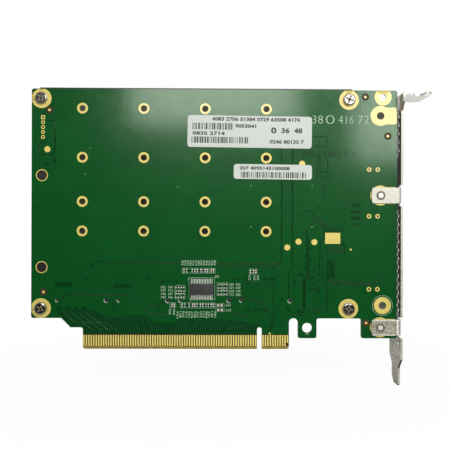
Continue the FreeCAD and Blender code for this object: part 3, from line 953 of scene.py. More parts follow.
class CARD_OT_screw_lands(bpy.types.Operator):
    """Gold lands under the cover screws, under the ears and at the spare holes"""
    bl_idname = "card.screw_lands"
    bl_label = "Screw lands"

    def execute(self, context):
        sizes = context.scene.card_sizes
        margin = 0.15 * MM
        top = ((0, 0, BOARD_HIGH.z - margin), (0, 0, 1))
        edges = [((BOARD_LOW.x + margin, 0, 0), (-1, 0, 0)), top,
                 ((0, 0, SHOULDER_Z + margin), (0, 0, -1))]
        pieces = []
        for box in solid_boxes("cover_screws"):
            spot = centre(box)
            pieces.append(round_land(spot.x, spot.z, sizes.cover_land, SCREW_HOLE, edges))
        for box in solid_boxes("bracket_screws"):
            pieces.append(ear_land(centre(box).z))
        pieces.append(ear_land(SPARE_EAR_Z * MM))
        for (x, z, hole), cuts in ((SPARE_HIGH, [top]), (SPARE_LOW, [])):
            pieces.append(round_land(x * MM, z * MM, sizes.spare_land, hole * MM, cuts))
        for x, z in LOCATING_HOLES:
            pieces.append(round_land(x * MM, z * MM, 4.84 * MM, 2.05 * MM))
        dress(join(pieces, "screw_lands"), "land_gold", "contact_gold")
        return {"FINISHED"}


class CARD_OT_small_lands(bpy.types.Operator):
    """Test pads, fiducials, and the pads of the parts that are not fitted, with dark discs of
    painted shade in their open holes
    """
    bl_idname = "card.small_lands"
    bl_label = "Small lands"

    def execute(self, context):
        sizes = context.scene.card_sizes
        copper = sizes.copper
        gold = spread(disc(sizes.test_pad / 2, copper),
                      ((-86.6, 81.3), (15.9, 44.0), (22.4, 43.8), (11.3, 41.6), (17.3, 75.9)))
        marks = ((-85.8, 97.3), (43.1, 103.3), (52.4, 87.3), (-88.0, 23.2), (43.7, 10.8))
        gold += spread(disc(0.55 * MM, copper, steps=20), marks)
        laminate = spread(ring(1.5 * MM, 0.56 * MM, 0.006 * MM, steps=32), marks)

        header_x = -88.4
        header = [(header_x, z) for z in (92.3, 90.3, 88.3, 86.3)]
        first_pin = [(header_x, 94.3)]
        diodes = [(x, z) for z in (73.6, 54.5, 24.6) for x in (44.8, 48.3)]
        gold += spread(ring(0.8 * MM, 0.42 * MM, copper, steps=24), header)
        gold += spread(tile(1.6 * MM, 1.6 * MM, copper, round_by=0.1 * MM), first_pin)
        gold += spread(ring(0.95 * MM, 0.45 * MM, copper, steps=24), diodes)
        # Painted shade: dark discs stand in the open holes of the header, the diodes and the small
        # holes.
        dark = spread(disc(0.44 * MM, 0.008 * MM, steps=20, bevel=0), header + diodes)
        dark += spread(disc(0.44 * MM, copper + 0.004 * MM, steps=20, bevel=0), first_pin)

        gold += spread(tile(6.2 * MM, 4.5 * MM, copper, round_by=0.12 * MM), [(29.9, 45.4)])
        gold += spread(disc(0.42 * MM, copper, steps=16), ((37.3, 40.8), (4.2, 6.4)))
        pins = [(28.7, 44.2), (28.7, 45.0), (29.8, 44.9), (30.9, 44.5), (31.9, 45.0),
                (31.9, 44.2), (29.8, 44.0)]
        pins += [(EAR_X + 3.3 * math.cos(turn), SPARE_EAR_Z + 3.3 * math.sin(turn))
                 for turn in map(math.radians, (95, 140, 180, 220, 265))]
        pins += [(x, SPARE_EAR_Z + z)
                 for x, z in ((54.2, 2.4), (54.2, -2.4), (52.4, 2.6), (52.4, -2.6))]
        dark += spread(disc(0.13 * MM, copper + 0.005 * MM, steps=10, bevel=0), pins)
        dress(join(gold, "small_lands"), "land_gold", "contact_gold")
        dress(join(dark, "open_pin_holes"), "film_dark", "board")
        dress(join(laminate, "fiducial_clearings"), "bare_laminate", "board")
        return {"FINISHED"}


# Courses of the gaps and tracks under the mask, as (x, z) points in millimetres.
STRAIGHT_GAPS = (
    [(-86.6, 92.6), (-85.4, 93.3), (-84.0, 92.6), (-83.5, 91.6), (-83.5, 80.7), (-85.0, 79.2),
     (-89.0, 79.2), (-90.0, 80.2), (-90.0, 83.0), (-88.9, 84.0), (-87.5, 84.5)],
    [(-68.6, 34.2), (-67.3, 35.5), (-31.9, 35.1)],
    [(-17.6, 35.0), (7.6, 34.9), (8.9, 36.2)],
    [(-17.6, 33.9), (8.4, 33.9), (9.6, 35.1)],
    [(-82.4, 16.0), (-82.1, 18.9), (-78.9, 22.0), (-52.8, 22.0), (-44.4, 14.1), (-37.9, 14.1)],
    [(-59.8, 16.1), (-59.8, 19.5), (-58.5, 20.8)],
    [(8.95, 82.0), (8.95, 36.2)],
    [(13.4, 82.0), (13.4, 33.0), (11.9, 31.4), (11.9, 20.9)],
    [(13.0, 51.1), (19.2, 56.6), (21.2, 56.6), (21.9, 55.6), (22.2, 53.1), (25.0, 52.6),
     (28.4, 49.3), (34.1, 49.3)],
    [(19.2, 48.8), (22.4, 52.0), (25.0, 51.6), (27.9, 48.5), (34.1, 48.5)],
    [(19.2, 49.0), (19.2, 29.3), (17.9, 28.3), (17.9, 17.0), (15.9, 14.3), (10.9, 13.7),
     (9.6, 11.2), (8.3, 9.1)],
    [(20.0, 47.0), (20.0, 29.0), (18.7, 27.9), (18.7, 16.7), (16.4, 13.5)],
    [(20.6, 46.4), (24.0, 50.6), (25.6, 50.3), (26.4, 49.0), (26.4, 45.6), (24.8, 43.9),
     (24.4, 30.4), (27.7, 26.9), (27.7, 17.2), (26.6, 16.1), (19.8, 16.1), (16.8, 13.1)],
    [(26.5, 42.0), (33.2, 42.0), (34.0, 43.4)],
    [(26.5, 40.7), (33.8, 40.7), (35.0, 41.7), (35.0, 42.6), (34.2, 43.6)],
    [(34.9, 41.4), (34.3, 39.7), (26.5, 39.6), (25.7, 38.8), (25.7, 36.6)],
    [(27.8, 36.3), (27.8, 28.5), (29.9, 26.5), (47.1, 26.5), (49.7, 29.6), (51.9, 29.8)],
    [(28.5, 36.3), (28.5, 28.8), (30.2, 27.2), (46.8, 27.2), (49.3, 30.4), (51.9, 30.5)],
    [(30.4, 36.3), (30.4, 29.2), (31.4, 28.2), (36.7, 28.2), (37.5, 29.0)],
    [(-5.75, 27.0), (5.8, 27.0), (5.8, 14.4)],
    [(21.8, 87.0), (27.4, 87.0), (27.4, 83.1), (21.8, 83.1)],
    [(23.6, 80.0), (23.6, 68.2), (26.4, 66.9), (26.1, 62.9)],
    [(24.6, 72.6), (28.2, 72.6), (24.8, 69.6), (24.6, 72.6)],
    [(29.0, 72.4), (25.4, 68.9)],
    [(24.6, 80.0), (24.6, 74.2), (27.8, 73.6), (27.8, 77.5)],
    [(35.2, 60.6), (35.8, 60.2)],
)
CURVED_GAPS = (
    [(-14.1, 21.6), (-6.0, 21.7), (0.0, 19.6), (5.2, 14.8), (6.6, 12.6), (5.6, 9.4), (3.4, 7.4)],
    [(-9.0, 20.6), (-4.5, 20.4), (0.4, 17.8), (4.9, 13.6), (5.6, 11.4), (4.0, 9.0)],
    [(-45.9, 19.2), (-45.4, 18.2), (-43.2, 18.3), (-40.4, 18.4), (-38.5, 19.4)],
    [(-45.0, 18.3), (-43.8, 17.4), (-41.0, 17.4), (-38.9, 18.0)],
    [(-14.1, 17.6), (-11.0, 15.6), (-9.5, 13.6), (-6.6, 13.4), (-3.6, 15.0), (-2.0, 16.4)],
)
WIDE_GAPS = (
    [(29.45, 36.0), (29.45, 29.3)],
    [(18.3, 28.5), (18.3, 17.2)],
)
BARE_STRIP = (
    (-82.4, 15.4), (-70.7, 15.9), (-66.6, 15.4), (-62.9, 13.0), (-56.9, 13.0), (-56.1, 13.8),
    (-45.5, 13.8), (-42.6, 10.7), (-34.0, 10.7), (-32.2, 12.2), (-14.6, 12.2), (-10.0, 11.6),
    (-4.0, 11.0), (0.0, 10.2), (-1.0, 9.6), (-1.1, 6.15), (-71.8, 6.15), (-71.8, 8.9),
    (-76.6, 8.9), (-80.2, 12.4),
)
# Fanned tracks: the shift of each track, and the course that the tracks of a fan share.
FANS = (
    ([(x, 0.0) for x in (-80.4, -77.2, -74.1, -71.2)],
     ((0.0, 15.4), (2.6, 12.6), (5.4, 11.0), (8.6, 10.6), (11.0, 8.6), (13.0, 7.4))),
    ([(x, 0.0) for x in (-79.85, -76.65, -73.55, -70.65)],
     ((0.0, 14.85), (2.6, 12.6), (5.4, 11.0), (8.6, 10.6), (11.0, 8.6), (13.0, 7.4))),
    ([(x, 0.0) for x in (-55.4, -52.3, -49.2, -46.4)],
     ((0.0, 13.2), (1.2, 11.8), (1.8, 10.6), (2.0, 9.0), (3.0, 7.6))),
    ([(x, 0.0) for x in (-34.8, -32.2, -28.6, -25.4, -17.1, -13.6)],
     ((0.0, 7.6), (1.6, 9.2), (2.6, 10.4), (3.7, 12.0))),
    ([(-13.0, 0.0), (-10.6, 0.5), (-8.2, 1.0), (-5.6, 1.4)],
     ((0.0, 8.0), (2.5, 8.6), (4.6, 10.2), (7.0, 12.6), (8.8, 13.4))),
)


class CARD_OT_tracks(bpy.types.Operator):
    """Gaps in the copper under the mask, the bare strip over the contacts, and its tracks"""
    bl_idname = "card.tracks"
    bl_label = "Tracks under the mask"

    def execute(self, context):
        line = context.scene.card_sizes.gap_line
        gaps = [tracks(STRAIGHT_GAPS, line, 0.008 * MM, "straight_gaps"),
                tracks(CURVED_GAPS, line, 0.008 * MM, "curved_gaps", curved=True),
                tracks(WIDE_GAPS, line * 1.6, 0.006 * MM, "wide_gaps")]
        dress(join(gaps, "track_gaps"), "mask_gap", "board")

        half = 0.0015 * MM
        bare = drawn("bare_strip", [BARE_STRIP], SOLDER - half, closed=True, dimensions="2D",
                     fill_mode="BOTH", extrude=half)
        dress(outward(bare), "mask_over_laminate", "board")

        fans = [[(start + x, lift + z) for x, z in course]
                for shifts, course in FANS for start, lift in shifts]
        lines = tracks(fans, 0.2 * MM, 0.012 * MM, "fanned_tracks", curved=True)
        dress(lines, "mask_over_track", "board")
        return {"FINISHED"}


SINGLE_VIAS = (
    (-70.7, 28.8), (-45.9, 28.9), (-39.5, 27.5), (-33.8, 27.5), (-68.6, 34.2), (13.0, 50.9),
    (14.3, 27.8), (14.3, 26.4), (16.6, 30.4), (17.5, 30.4), (19.8, 31.7), (22.1, 31.9),
    (20.3, 29.3), (21.8, 29.2), (23.9, 28.0), (22.1, 26.8), (20.5, 24.8), (22.1, 24.7),
    (24.2, 24.7), (23.9, 23.4), (20.8, 41.2), (19.2, 38.4), (20.5, 36.6), (18.7, 33.5),
    (24.2, 34.5), (7.5, 17.4), (11.3, 16.6), (12.2, 16.0), (15.9, 15.5), (-11.0, 28.8),
    (-9.0, 28.8), (-5.7, 28.5), (-4.7, 26.7), (2.3, 28.7), (4.7, 28.5), (6.0, 28.5), (5.7, 33.5),
    (9.4, 20.2), (23.5, 58.2), (13.1, 80.1), (13.1, 66.7), (-83.6, 77.2), (-83.6, 76.2),
    (-87.8, 75.3), (-86.8, 75.3), (-83.5, 85.4),
)


class CARD_OT_vias(bpy.types.Operator):
    """Covered vias: rings round small dimples in the mask"""
    bl_idname = "card.vias"
    bl_label = "Vias"

    def execute(self, context):
        via = context.scene.card_sizes.via
        rng = random.Random(41)
        points = list(SINGLE_VIAS)
        for xs, high, low in (((-82.6, -81.2, -79.8, -78.4, -76.8), 26.6, 25.8),
                              ((-58.8, -57.2, -55.6, -54.1, -52.6), 26.2, 25.3)):
            points += [(x, z) for x in xs for z in (high, low)]
        for x in (17.4, 18.6, 20.6, 21.6, 24.0, 26.4, 28.6, 29.6, 30.9, 32.4, 35.2, 38.2):
            points += [(x, 80.6), (x + rng.uniform(-0.5, 0.5), 79.2)]
        points += [(37.7 + 0.8 * i, z) for z in (59.0, 56.3, 53.7) for i in range(5)]
        points += [(38.9, 51.0), (40.2, 51.0)]
        points += [(x, 16.4) for x in (-81.6, -80.6, -78.4, -77.4, -75.3, -74.3, -72.0, -71.2)]
        points += [(x, 16.0 + rng.uniform(-0.2, 0.2)) for x in (-1.2, 0.6, 2.2, -6.0, -4.4)]
        master = ring(via / 2, via / 3.6, 0.02 * MM, steps=10)
        dress(join(spread(master, points), "vias"), "mask_dimple", "board")
        return {"FINISHED"}


class CARD_OT_pegs(bpy.types.Operator):
    """Ends of the socket pegs in their holes, each with a pale crescent of painted highlight at
    its lower left
    """
    bl_idname = "card.pegs"
    bl_label = "Socket peg holes"

    def execute(self, context):
        peg_z = 19.9
        lit_crescents, ends = [], []
        for x in module_columns():
            for offset, size in ((-10.0, 1.1), (10.0, 1.6)):
                middle, radius = x / MM + offset, size / 2 * MM
                # Painted highlight: a pale disc set off to the lower left shows as a crescent
                # beside the peg's end.
                rim = disc(radius + 0.13 * MM, 0.012 * MM, steps=28, bevel=0)
                lit_crescents += spread(rim, [(middle - 0.16, peg_z - 0.2)])
                end = disc(radius + 0.09 * MM, 0.03 * MM, steps=28)
                ends += spread(end, [(middle, peg_z)])
        dress(join(lit_crescents, "peg_hole_rims"), "white_print", "board")
        dress(join(ends, "peg_ends"), "moulded_black", "socket_plastic")
        return {"FINISHED"}


def pan_head_screw(diameter, height, shank, run):
    """A screw with a cross recess at the origin, its head towards -Y and its seat at y = 0."""
    deselect()
    bpy.ops.mesh.primitive_circle_add(vertices=40, radius=diameter / 2, fill_type="NGON",
                                      rotation=UPRIGHT)
    piece = settle(bpy.context.object)
    with editing(piece):
        last = 1.0
        for up, wide in ((0.60, 1.0), (0.22, 0.97), (0.11, 0.90), (0.05, 0.80)):
            extrude(0, -up * height, 0)
            bpy.ops.transform.resize(value=(wide / last, 1, wide / last))
            last = wide
    outward(piece)
    cuts = [turned(block((diameter * 0.70, height * 1.3, diameter * 0.17), (0, -height, 0)), turn)
            for turn in CROSS]
    deselect()
    bpy.ops.mesh.primitive_cone_add(vertices=24, radius1=diameter * 0.04,
                                    radius2=diameter * 0.19, depth=height * 1.4,
                                    location=(0, -height * 0.95, 0), rotation=UPRIGHT)
    for cut in cuts + [settle(bpy.context.object)]:
        combine(piece, cut, "DIFFERENCE")
    stem = rod(shank / 2, run, (0, run / 2, 0), 32)
    return smooth(join([piece, stem], "screw"), 15)


class CARD_OT_screws(bpy.types.Operator):
    """Pan-head screws with cross recesses, painted shade inside the recesses and round the tips of
    the bracket screws
    """
    bl_idname = "card.screws"
    bl_label = "Screws"

    def cover_screws(self):
        boxes = solid_boxes("cover_screws")
        spots = [centre(box) for box in boxes]
        places = [(spot.x, SOLDER - 0.04 * MM, spot.z, turn)
                  for spot, turn in zip(spots, (0.55, 0.15, 0.95, 0.35))]
        master = pan_head_screw(COVER_HEAD, 1.7 * MM, SHANK, boxes[0][1].y - SOLDER)
        dress(join(copies(master, places), "cover_screw_set"), "plated_screw", "screw_nickel",
              "cover_screws")
        # Painted shade: a thin dark cross stands in the recess of each head.
        shade_crosses = []
        for place in places:
            for turn in CROSS:
                arm = tile(COVER_HEAD * 0.68, COVER_HEAD * 0.15, 0.03 * MM, -1.25 * MM)
                shade_crosses += copies(turned(arm, turn), [place])
        dress(join(shade_crosses, "cover_screw_recess_floors"), "recess_dull", "screw_nickel")

    def bracket_screws(self):
        boxes = solid_boxes("bracket_screws")
        tip = boxes[0][0].y
        pieces, tips = [], []
        for box, turn in zip(boxes, (0.7, 0.2)):
            screw = pan_head_screw(5.4 * MM, 1.5 * MM, SHANK, COMPONENT - tip)
            spot = centre(box)
            pieces += copies(turned(screw, math.pi, "Z"), [(spot.x, COMPONENT, spot.z, turn)])
            tips += copies(disc(1.0 * MM, 0.12 * MM, tip, steps=28), [(spot.x, 0, spot.z, 0)])
        dress(join(pieces, "bracket_screw_set"), "plated_screw", "screw_nickel",
              "bracket_screws")
        dress(join(tips, "bracket_screw_tips"), "tin", "screw_nickel")
        # Painted shade: a dark ring on the collar face round each screw's tip.
        master = ring(1.80 * MM, 1.18 * MM, 0.02 * MM, tip, steps=40)
        shadows = copies(master, [(centre(box).x, 0, centre(box).z, 0) for box in boxes])
        dress(join(shadows, "thread_shadow_rings"), "thread_dull", "screw_nickel")

    def execute(self, context):
        self.cover_screws()
        self.bracket_screws()
        return {"FINISHED"}


class CARD_OT_clock_buffer(bpy.types.Operator):
    """The clock buffer: moulded body, gull-wing leads and their solder lands"""
    bl_idname = "card.clock_buffer"
    bl_label = "Clock buffer"

    def lead(self, wide, half, foot_end):
        """A gull-wing lead at the origin. It leaves the body at z = half, its foot up."""
        thin = 0.13 * MM
        shoulder = SOLDER - 0.6 * MM
        knee = half + 0.35 * MM
        bend = (0.1 * MM, 0.1 * MM)
        path = [(0.0, knee - half - 0.02 * MM), bend,
                (SOLDER - shoulder - thin / 2 - 0.2 * MM, 0.14 * MM), bend,
                (0.0, foot_end - knee - 0.22 * MM)]
        deselect()
        bpy.ops.mesh.primitive_plane_add(size=1, location=(0, shoulder, half - 0.05 * MM))
        lead = bpy.context.object
        lead.scale = (wide, thin, 1)
        settle(lead)
        with editing(lead):
            for rise, reach in path:
                extrude(0, rise, reach)
        return rounded(outward(lead), 0.02 * MM, angle_limit=math.radians(50))

    def execute(self, context):
        low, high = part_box("clock_buffer_body")
        body = softened("clock_buffer_body", "clock_buffer_moulding", 0.12 * MM)
        dimple = (low.x + 0.95 * MM, low.y, high.z - 0.9 * MM)
        combine(body, rod(0.42 * MM, 0.16 * MM, dimple, 24), "DIFFERENCE")
        dress(body, "chip_epoxy", "chip_black", "clock_buffer_body")

        boxes = solid_boxes("clock_buffer_leads")
        middle = (low.z + high.z) / 2
        foot_end = middle - boxes[0][0].z
        places, land_places = [], []
        for box in boxes:
            x, up = centre(box).x, centre(box).z > middle
            places.append((x, 0, middle, 0 if up else math.pi))
            reach = foot_end + 0.35 * MM
            land_places.append((x, 0, middle + (reach if up else -reach), 0))
        lead = self.lead(boxes[0][1].x - boxes[0][0].x, (high.z - low.z) / 2, foot_end)
        dress(join(copies(lead, places), "gull_wing_leads"), "tin", "tinned_metal",
              "clock_buffer_leads")
        land = tile(0.27 * MM, 1.35 * MM, 0.03 * MM, round_by=0.06 * MM)
        dress(join(copies(land, land_places), "clock_buffer_lands"), "tin", "tinned_metal")

        mark = [digits("2417", -22.2, 24.0, 0.8, face_y=low.y, thickness=INK),
                digits("08 36", -21.6, 25.1, 0.6, face_y=low.y, thickness=INK)]
        dress(join(mark, "clock_buffer_digits"), "marking_tone", "chip_black")
        return {"FINISHED"}


def two_ended(size, body_share):
    """Body and two wrapped terminals of a chip part at the origin, on the solder side."""
    height = size.y
    long_side, short_side = max(size.x, size.z), min(size.x, size.z)
    band = long_side * (1 - body_share) / 2
    body = block((long_side * 0.97, height * 0.92, short_side * 0.92),
                 (0, SOLDER - height * 0.47, 0))
    rounded(body, short_side * 0.06, 2)
    ends = []
    for side in (-1, 1):
        end = block((band, height, short_side),
                    (side * (long_side - band) / 2, SOLDER - height / 2, 0))
        foot = block((band * 1.2, 0.06 * MM, short_side * 1.05),
                     (side * (long_side / 2 + band * 0.35), SOLDER - 0.03 * MM, 0))
        ends += [rounded(end, short_side * 0.1, 2), rounded(foot, 0.02 * MM)]
    ends = join(ends, "ends")
    if size.x <= size.z:
        turned(body, math.pi / 2)
        turned(ends, math.pi / 2)
    return body, ends


class CARD_OT_chip_parts(bpy.types.Operator):
    """Resistors and capacitors on the solder side, with bright ends"""
    bl_idname = "card.chip_parts"
    bl_label = "Resistors and capacitors"

    def execute(self, context):
        rows = (("chip_resistors", "film_dark", "resistor_brown", "resistor"),
                ("chip_capacitors", "fired_tan", "capacitor_tan", "capacitor"))
        for node, material, slot, word in rows:
            bodies, ends = [], []
            for box in solid_boxes(node):
                body, end = two_ended(box[1] - box[0], 0.5)
                place = [(centre(box).x, 0, centre(box).z, 0)]
                bodies += copies(body, place)
                ends += copies(end, place)
            dress(smooth(join(bodies, word + "_bodies")), material, slot, node)
            dress(smooth(join(ends, word + "_ends")), "tin", "tinned_metal")
        return {"FINISHED"}


class CARD_OT_silkscreen(bpy.types.Operator):
    """Boxes, digits and small marks printed on the solder side"""
    bl_idname = "card.silkscreen"
    bl_label = "Printed marks"

    def execute(self, context):
        rng = random.Random(7)
        boxes = [(-31.6, -23.5, 31.0, 33.0), (-23.3, -20.8, 31.0, 33.0),
                 (-20.4, -18.1, 31.0, 33.0), (-34.5, -30.4, 20.5, 26.0),
                 (-17.3, -12.9, 22.0, 27.1), (-32.3, -18.3, 16.8, 18.9),
                 (-36.6, -34.2, 16.8, 18.9), (-17.9, -14.4, 17.2, 18.6),
                 (-17.9, -14.4, 15.3, 16.7), (-4.2, -1.0, 30.7, 32.8)]
        paths = [[(x0, z0), (x1, z0), (x1, z1), (x0, z1), (x0, z0 - 0.05)]
                 for x0, x1, z0, z1 in boxes]
        paths += [[(-28.5, 29.2), (-18.7, 29.2), (-18.3, 28.8), (-18.3, 20.5), (-18.7, 20.1),
                   (-28.2, 20.1), (-28.8, 20.7), (-28.8, 28.8), (-28.5, 29.2)],
                  [(-28.2, 20.1), (-28.2, 18.9)], [(-32.5, 26.0), (-32.5, 20.5)],
                  [(-15.1, 27.1), (-15.1, 22.0)]]
        pieces = [tracks(paths, 0.14 * MM, 0.01 * MM, "print_lines")]

        def some(count):
            return "".join(rng.choice("0123456789") for _ in range(count))

        def column(x, z0, z1):
            """Three digits that read upwards."""
            pieces.append(digits(some(3), x, (z0 + z1) / 2, 0.85, z1 - z0, turn=-math.pi / 2))

        def row(x0, x1, z, count=3, height=0.95):
            pieces.append(digits(some(count), (x0 + x1) / 2, z, height, x1 - x0))

        for index in range(13):
            column(-31.5 + 1.1 * index, 34.2, 36.2)
        for index in range(14):
            column(-33.4 + 1.18 * index, 12.9 if index % 5 else 12.6, 15.4)
        for index in range(4):
            z = 25.3 - 1.38 * index
            row(-40.3, -38.3, z)
            row(-37.3, -35.4, z)
            row(-12.3, -10.5, z + 1.1)
            row(-9.7, -7.8, z + 1.1)
        for x in (-36.6, -34.9):
            column(x, 14.0, 16.4)
        row(-13.8, -11.8, 17.9, height=0.9)
        row(-13.8, -11.6, 15.9, height=0.9)
        for x in (-4.1, -2.0, -0.7):
            column(x, 28.2, 30.2)
        row(-18.3, -16.6, 29.7, 2, 1.0)
        row(18.8, 20.4, 6.3, height=0.5)
        pieces.append(digits("0", -29.0, 28.6, 0.7))
        pieces.append(digits("1", -17.9, 20.6, 0.7))
        dots = ((-3.6, 66.8), (21.4, 66.8), (-3.6, 50.1), (21.4, 50.1), (-69.3, 81.7),
                (-71.3, 71.2), (-33.6, 66.3))
        pieces += spread(disc(0.16 * MM, 0.012 * MM, steps=10, bevel=0), dots)
        pieces += spread(ring(4.2 * MM, 4.08 * MM, 0.012 * MM, steps=64), [SPARE_LOW[:2]])
        dress(join(pieces, "printed_marks"), "silkscreen", "board")

        large = [digits(*row, thin=0.022)
                 for row in (("38", 23.6, 94.0, 3.3, 4.2), ("0", 28.7, 94.0, 3.6, 3.6),
                             ("416", 35.2, 94.0, 3.3, 6.2), ("72", 42.4, 94.0, 3.3, 4.4))]
        dress(join(large, "large_digits"), "white_print", "board")
        return {"FINISHED"}


class CARD_OT_label_print(bpy.types.Operator):
    """Bars and plain digits on the two labels"""
    bl_idname = "card.label_print"
    bl_label = "Label print"

    def bars(self, rng, x0, x1, z0, z1, face_y):
        """Upright bars of uneven width between x0 and x1."""
        pieces = []
        x = x0
        while x < x1 - 0.3:
            wide = min(rng.choice((0.22, 0.22, 0.34, 0.5, 0.66)), x1 - x)
            pieces += spread(tile(wide * MM, (z1 - z0) * MM, INK, face_y),
                             [(x + wide / 2, (z0 + z1) / 2)])
            x += wide + rng.choice((0.24, 0.3, 0.42, 0.6))
        return pieces

    def execute(self, context):
        rng = random.Random(23)
        prints = (
            ("large_label", ((-27.6, -10.7, 89.5, 92.2), (-28.0, -4.9, 84.0, 86.6)),
             (("4083 2706 51384 0729 63508 4174", -1.7, 93.9, 1.65, 36.0),
              ("0835 2714", -21.0, 88.0, 1.5, 13.2), ("9053041", -5.9, 91.1, 1.6, 8.6),
              ("0246 80135 7", 11.0, 84.9, 1.6, 14.2), ("0", 5.6, 89.5, 2.6, 2.3),
              ("36", 10.4, 89.5, 2.2, 3.4), ("48", 15.6, 89.5, 2.2, 3.4))),
            ("small_label", ((-7.8, 18.9, 70.0, 72.4),),
             (("207 4095143100008", 1.9, 73.9, 1.5, 20.6),)),
        )
        for node, codes, rows in prints:
            low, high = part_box(node)
            middle = (low + high) / 2
            pieces = []
            for code in codes:
                pieces += self.bars(rng, *code, low.y)
            for row in rows:
                pieces.append(digits(*row, face_y=low.y, thickness=INK, thin=-0.04))
            ink = join(pieces, node + "_print")
            ink.data.transform(Matrix.Translation((middle.x, 0, middle.z))
                               @ Matrix.Rotation(context.scene.card_sizes.label_tilt, 4, "Y")
                               @ Matrix.Translation((-middle.x, 0, -middle.z)))
            dress(ink, "label_ink", "label_paper")
        return {"FINISHED"}


class CARD_OT_component_side(bpy.types.Operator):
    """Socket terminals, inductors, cans and the other parts behind the board"""
    bl_idname = "card.component_side"
    bl_label = "Component side"

    def socket_tails(self):
        """Two in a millimetre under each socket, apart from its key."""
        places = []
        for number in SOCKETS:
            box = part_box("m2_socket_%d" % number)
            for index in range(38):
                offset = (index - 18.5) * 0.5 * MM
                if not 4.9 * MM < offset < 7.3 * MM:
                    places.append((centre(box).x + offset, 0, box[0].z - 0.45 * MM, 0))
        tail = tile(0.24 * MM, 1.2 * MM, 0.16 * MM, COMPONENT, side=1)
        dress(join(copies(tail, places), "socket_tails"), "tin", "tinned_metal")

    def cans(self):
        foot = 1.2 * MM
        cans, bases = [], []
        for low, high in solid_boxes("bulk_capacitors"):
            place = [((low.x + high.x) / 2, 0, (low.z + high.z) / 2, 0)]
            side = high.x - low.x
            base = tile(side, side, foot, COMPONENT, side=1, round_by=0.8 * MM)
            bases += copies(base, place)
            can = disc(side / 2 - 0.15 * MM, high.y - COMPONENT - foot, COMPONENT + foot,
                       side=1, steps=48, bevel=0.08)
            cans += copies(can, place)
        dress(smooth(join(cans, "can_bodies")), "can_aluminium", "capacitor_can",
              "bulk_capacitors")
        dress(join(bases, "can_bases"), "moulded_black", "capacitor_can")

    def execute(self, context):
        self.socket_tails()
        coils = softened("power_inductors", "inductor_blocks", 0.5 * MM, 3)
        dress(coils, "pressed_iron", "inductor_grey", "power_inductors")
        self.cans()
        ceramics = softened("ceramic_capacitors", "ceramic_blocks", 0.15 * MM)
        dress(ceramics, "fired_tan", "capacitor_tan", "ceramic_capacitors")
        return {"FINISHED"}


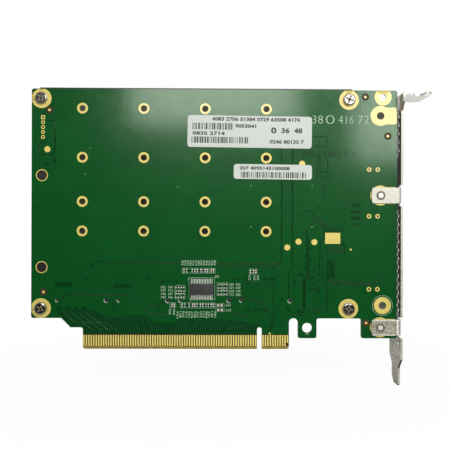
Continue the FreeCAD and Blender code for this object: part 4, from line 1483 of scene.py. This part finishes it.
class CARD_OT_stage(bpy.types.Operator):
    """Floor, room light, softboxes and camera"""
    bl_idname = "card.stage"
    bl_label = "Stage"

    def floor(self):
        """A pale floor that is white where the camera and the mirroring faces see it."""
        deselect()
        bpy.ops.mesh.primitive_circle_add(vertices=96, radius=1.6, fill_type="NGON",
                                          location=(0, 0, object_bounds()[0][2] - 0.02 * MM))
        ground = settle(bpy.context.object)
        ground.name = "floor"
        finish = Finish("pale_floor", (0.86, 0.86, 0.85), roughness=0.7)
        finish.set("Base Color", finish.shade(finish.noise(30, 3), 1.02, 0.98))
        camera, mirror = finish.rays()
        x, y, _ = finish.split(finish.place)
        far = finish.ranged(finish.math("SQRT", x * x + y * y), 0.06, 0.20, 0.93, 1.0)
        front = finish.ranged(y, -0.06, 0.05, 0.01, 1.0)
        glow = finish.node("Emission", Color=(1, 1, 1, 1), Strength=camera | front)
        mixed = finish.node("MixShader")
        finish.feed((camera * far) | mirror, mixed.inputs[0])
        finish.links.new(finish.shader.outputs[0], mixed.inputs[1])
        finish.links.new(glow.outputs[0], mixed.inputs[2])
        finish.links.new(mixed.outputs[0], finish.nodes["Material Output"].inputs["Surface"])
        ground.data.materials.append(finish.material)
        ground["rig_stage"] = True

    def room(self, sky):
        """White where the camera looks, and a room that is darker on the camera's side."""
        world = bpy.data.worlds.new("room")
        bpy.context.scene.world = world
        world.use_nodes = True
        tree = Tree(world.node_tree)
        camera, mirror = tree.rays()
        generated = Value(tree, tree.node("TexCoord").outputs["Generated"])
        span = tree.ranged(tree.split(generated)[1], -0.4, 0.3, 0.01, 1.0)
        span.socket.node.interpolation_type = "SMOOTHSTEP"
        mirror = mirror * ~camera
        background = tree.nodes["Background"].inputs
        tree.feed(camera + mirror * span + ~(camera | mirror) * sky, background["Strength"])
        background["Color"].default_value = (1, 1, 1, 1)

    def softbox(self, name, place, width, height, power):
        """A softbox in front of the card, level with the spot that it lights."""
        deselect()
        bpy.ops.object.light_add(type="AREA", location=place)
        lamp = bpy.context.object
        lamp.name = name
        lamp.data.shape = "RECTANGLE"
        lamp.data.size = width
        lamp.data.size_y = height
        lamp.data.energy = power
        lamp.rotation_euler = Vector((0, 1, 0)).to_track_quat("-Z", "Y").to_euler()

    def execute(self, context):
        stage = context.scene.card_stage
        context.scene.view_settings.view_transform = "Standard"
        self.floor()
        self.room(stage.sky)
        self.softbox("softbox_over_camera", (-0.019, -0.285, 0.184), 0.136, 0.104, stage.key)
        self.softbox("softbox_right", (0.146, -0.285, 0.156), 0.104, 0.104, stage.side)
        deselect()
        bpy.ops.object.camera_add(location=stage.camera,
                                  rotation=(math.pi / 2, stage.roll, stage.yaw))
        camera = bpy.context.object
        camera.data.sensor_width = 36
        camera.data.lens = stage.lens
        camera.data.clip_start = 0.01
        camera.data.clip_end = 20
        context.scene.camera = camera
        return {"FINISHED"}


OPERATORS = (CARD_OT_finishes, CARD_OT_covers, CARD_OT_module_lands, CARD_OT_screw_lands,
             CARD_OT_small_lands, CARD_OT_tracks, CARD_OT_vias, CARD_OT_pegs, CARD_OT_screws,
             CARD_OT_clock_buffer, CARD_OT_chip_parts, CARD_OT_silkscreen,
             CARD_OT_label_print, CARD_OT_component_side, CARD_OT_stage)


class CARD_PT_panel(bpy.types.Panel):
    """Sizes, colours and steps of the adapter card"""
    bl_idname = "CARD_PT_panel"
    bl_label = "Adapter card"
    bl_space_type = "VIEW_3D"
    bl_region_type = "UI"
    bl_category = "Adapter card"

    def draw(self, context):
        for group in (context.scene.card_sizes, context.scene.card_colours,
                      context.scene.card_stage):
            box = self.layout.box()
            for key in group.__annotations__:
                box.prop(group, key)
        for operator in OPERATORS:
            self.layout.operator(operator.bl_idname)


CLASSES = (CardSizes, CardColours, CardStage, *OPERATORS, CARD_PT_panel)


def register():
    for item in CLASSES:
        bpy.utils.register_class(item)
    bpy.types.Scene.card_sizes = bpy.props.PointerProperty(type=CardSizes)
    bpy.types.Scene.card_colours = bpy.props.PointerProperty(type=CardColours)
    bpy.types.Scene.card_stage = bpy.props.PointerProperty(type=CardStage)


def unregister():
    del bpy.types.Scene.card_stage
    del bpy.types.Scene.card_colours
    del bpy.types.Scene.card_sizes
    for item in reversed(CLASSES):
        bpy.utils.unregister_class(item)


def main():
    register()
    for operator in OPERATORS:
        group, name = operator.bl_idname.split(".")
        getattr(getattr(bpy.ops, group), name)()


if __name__ == "__main__":
    main()
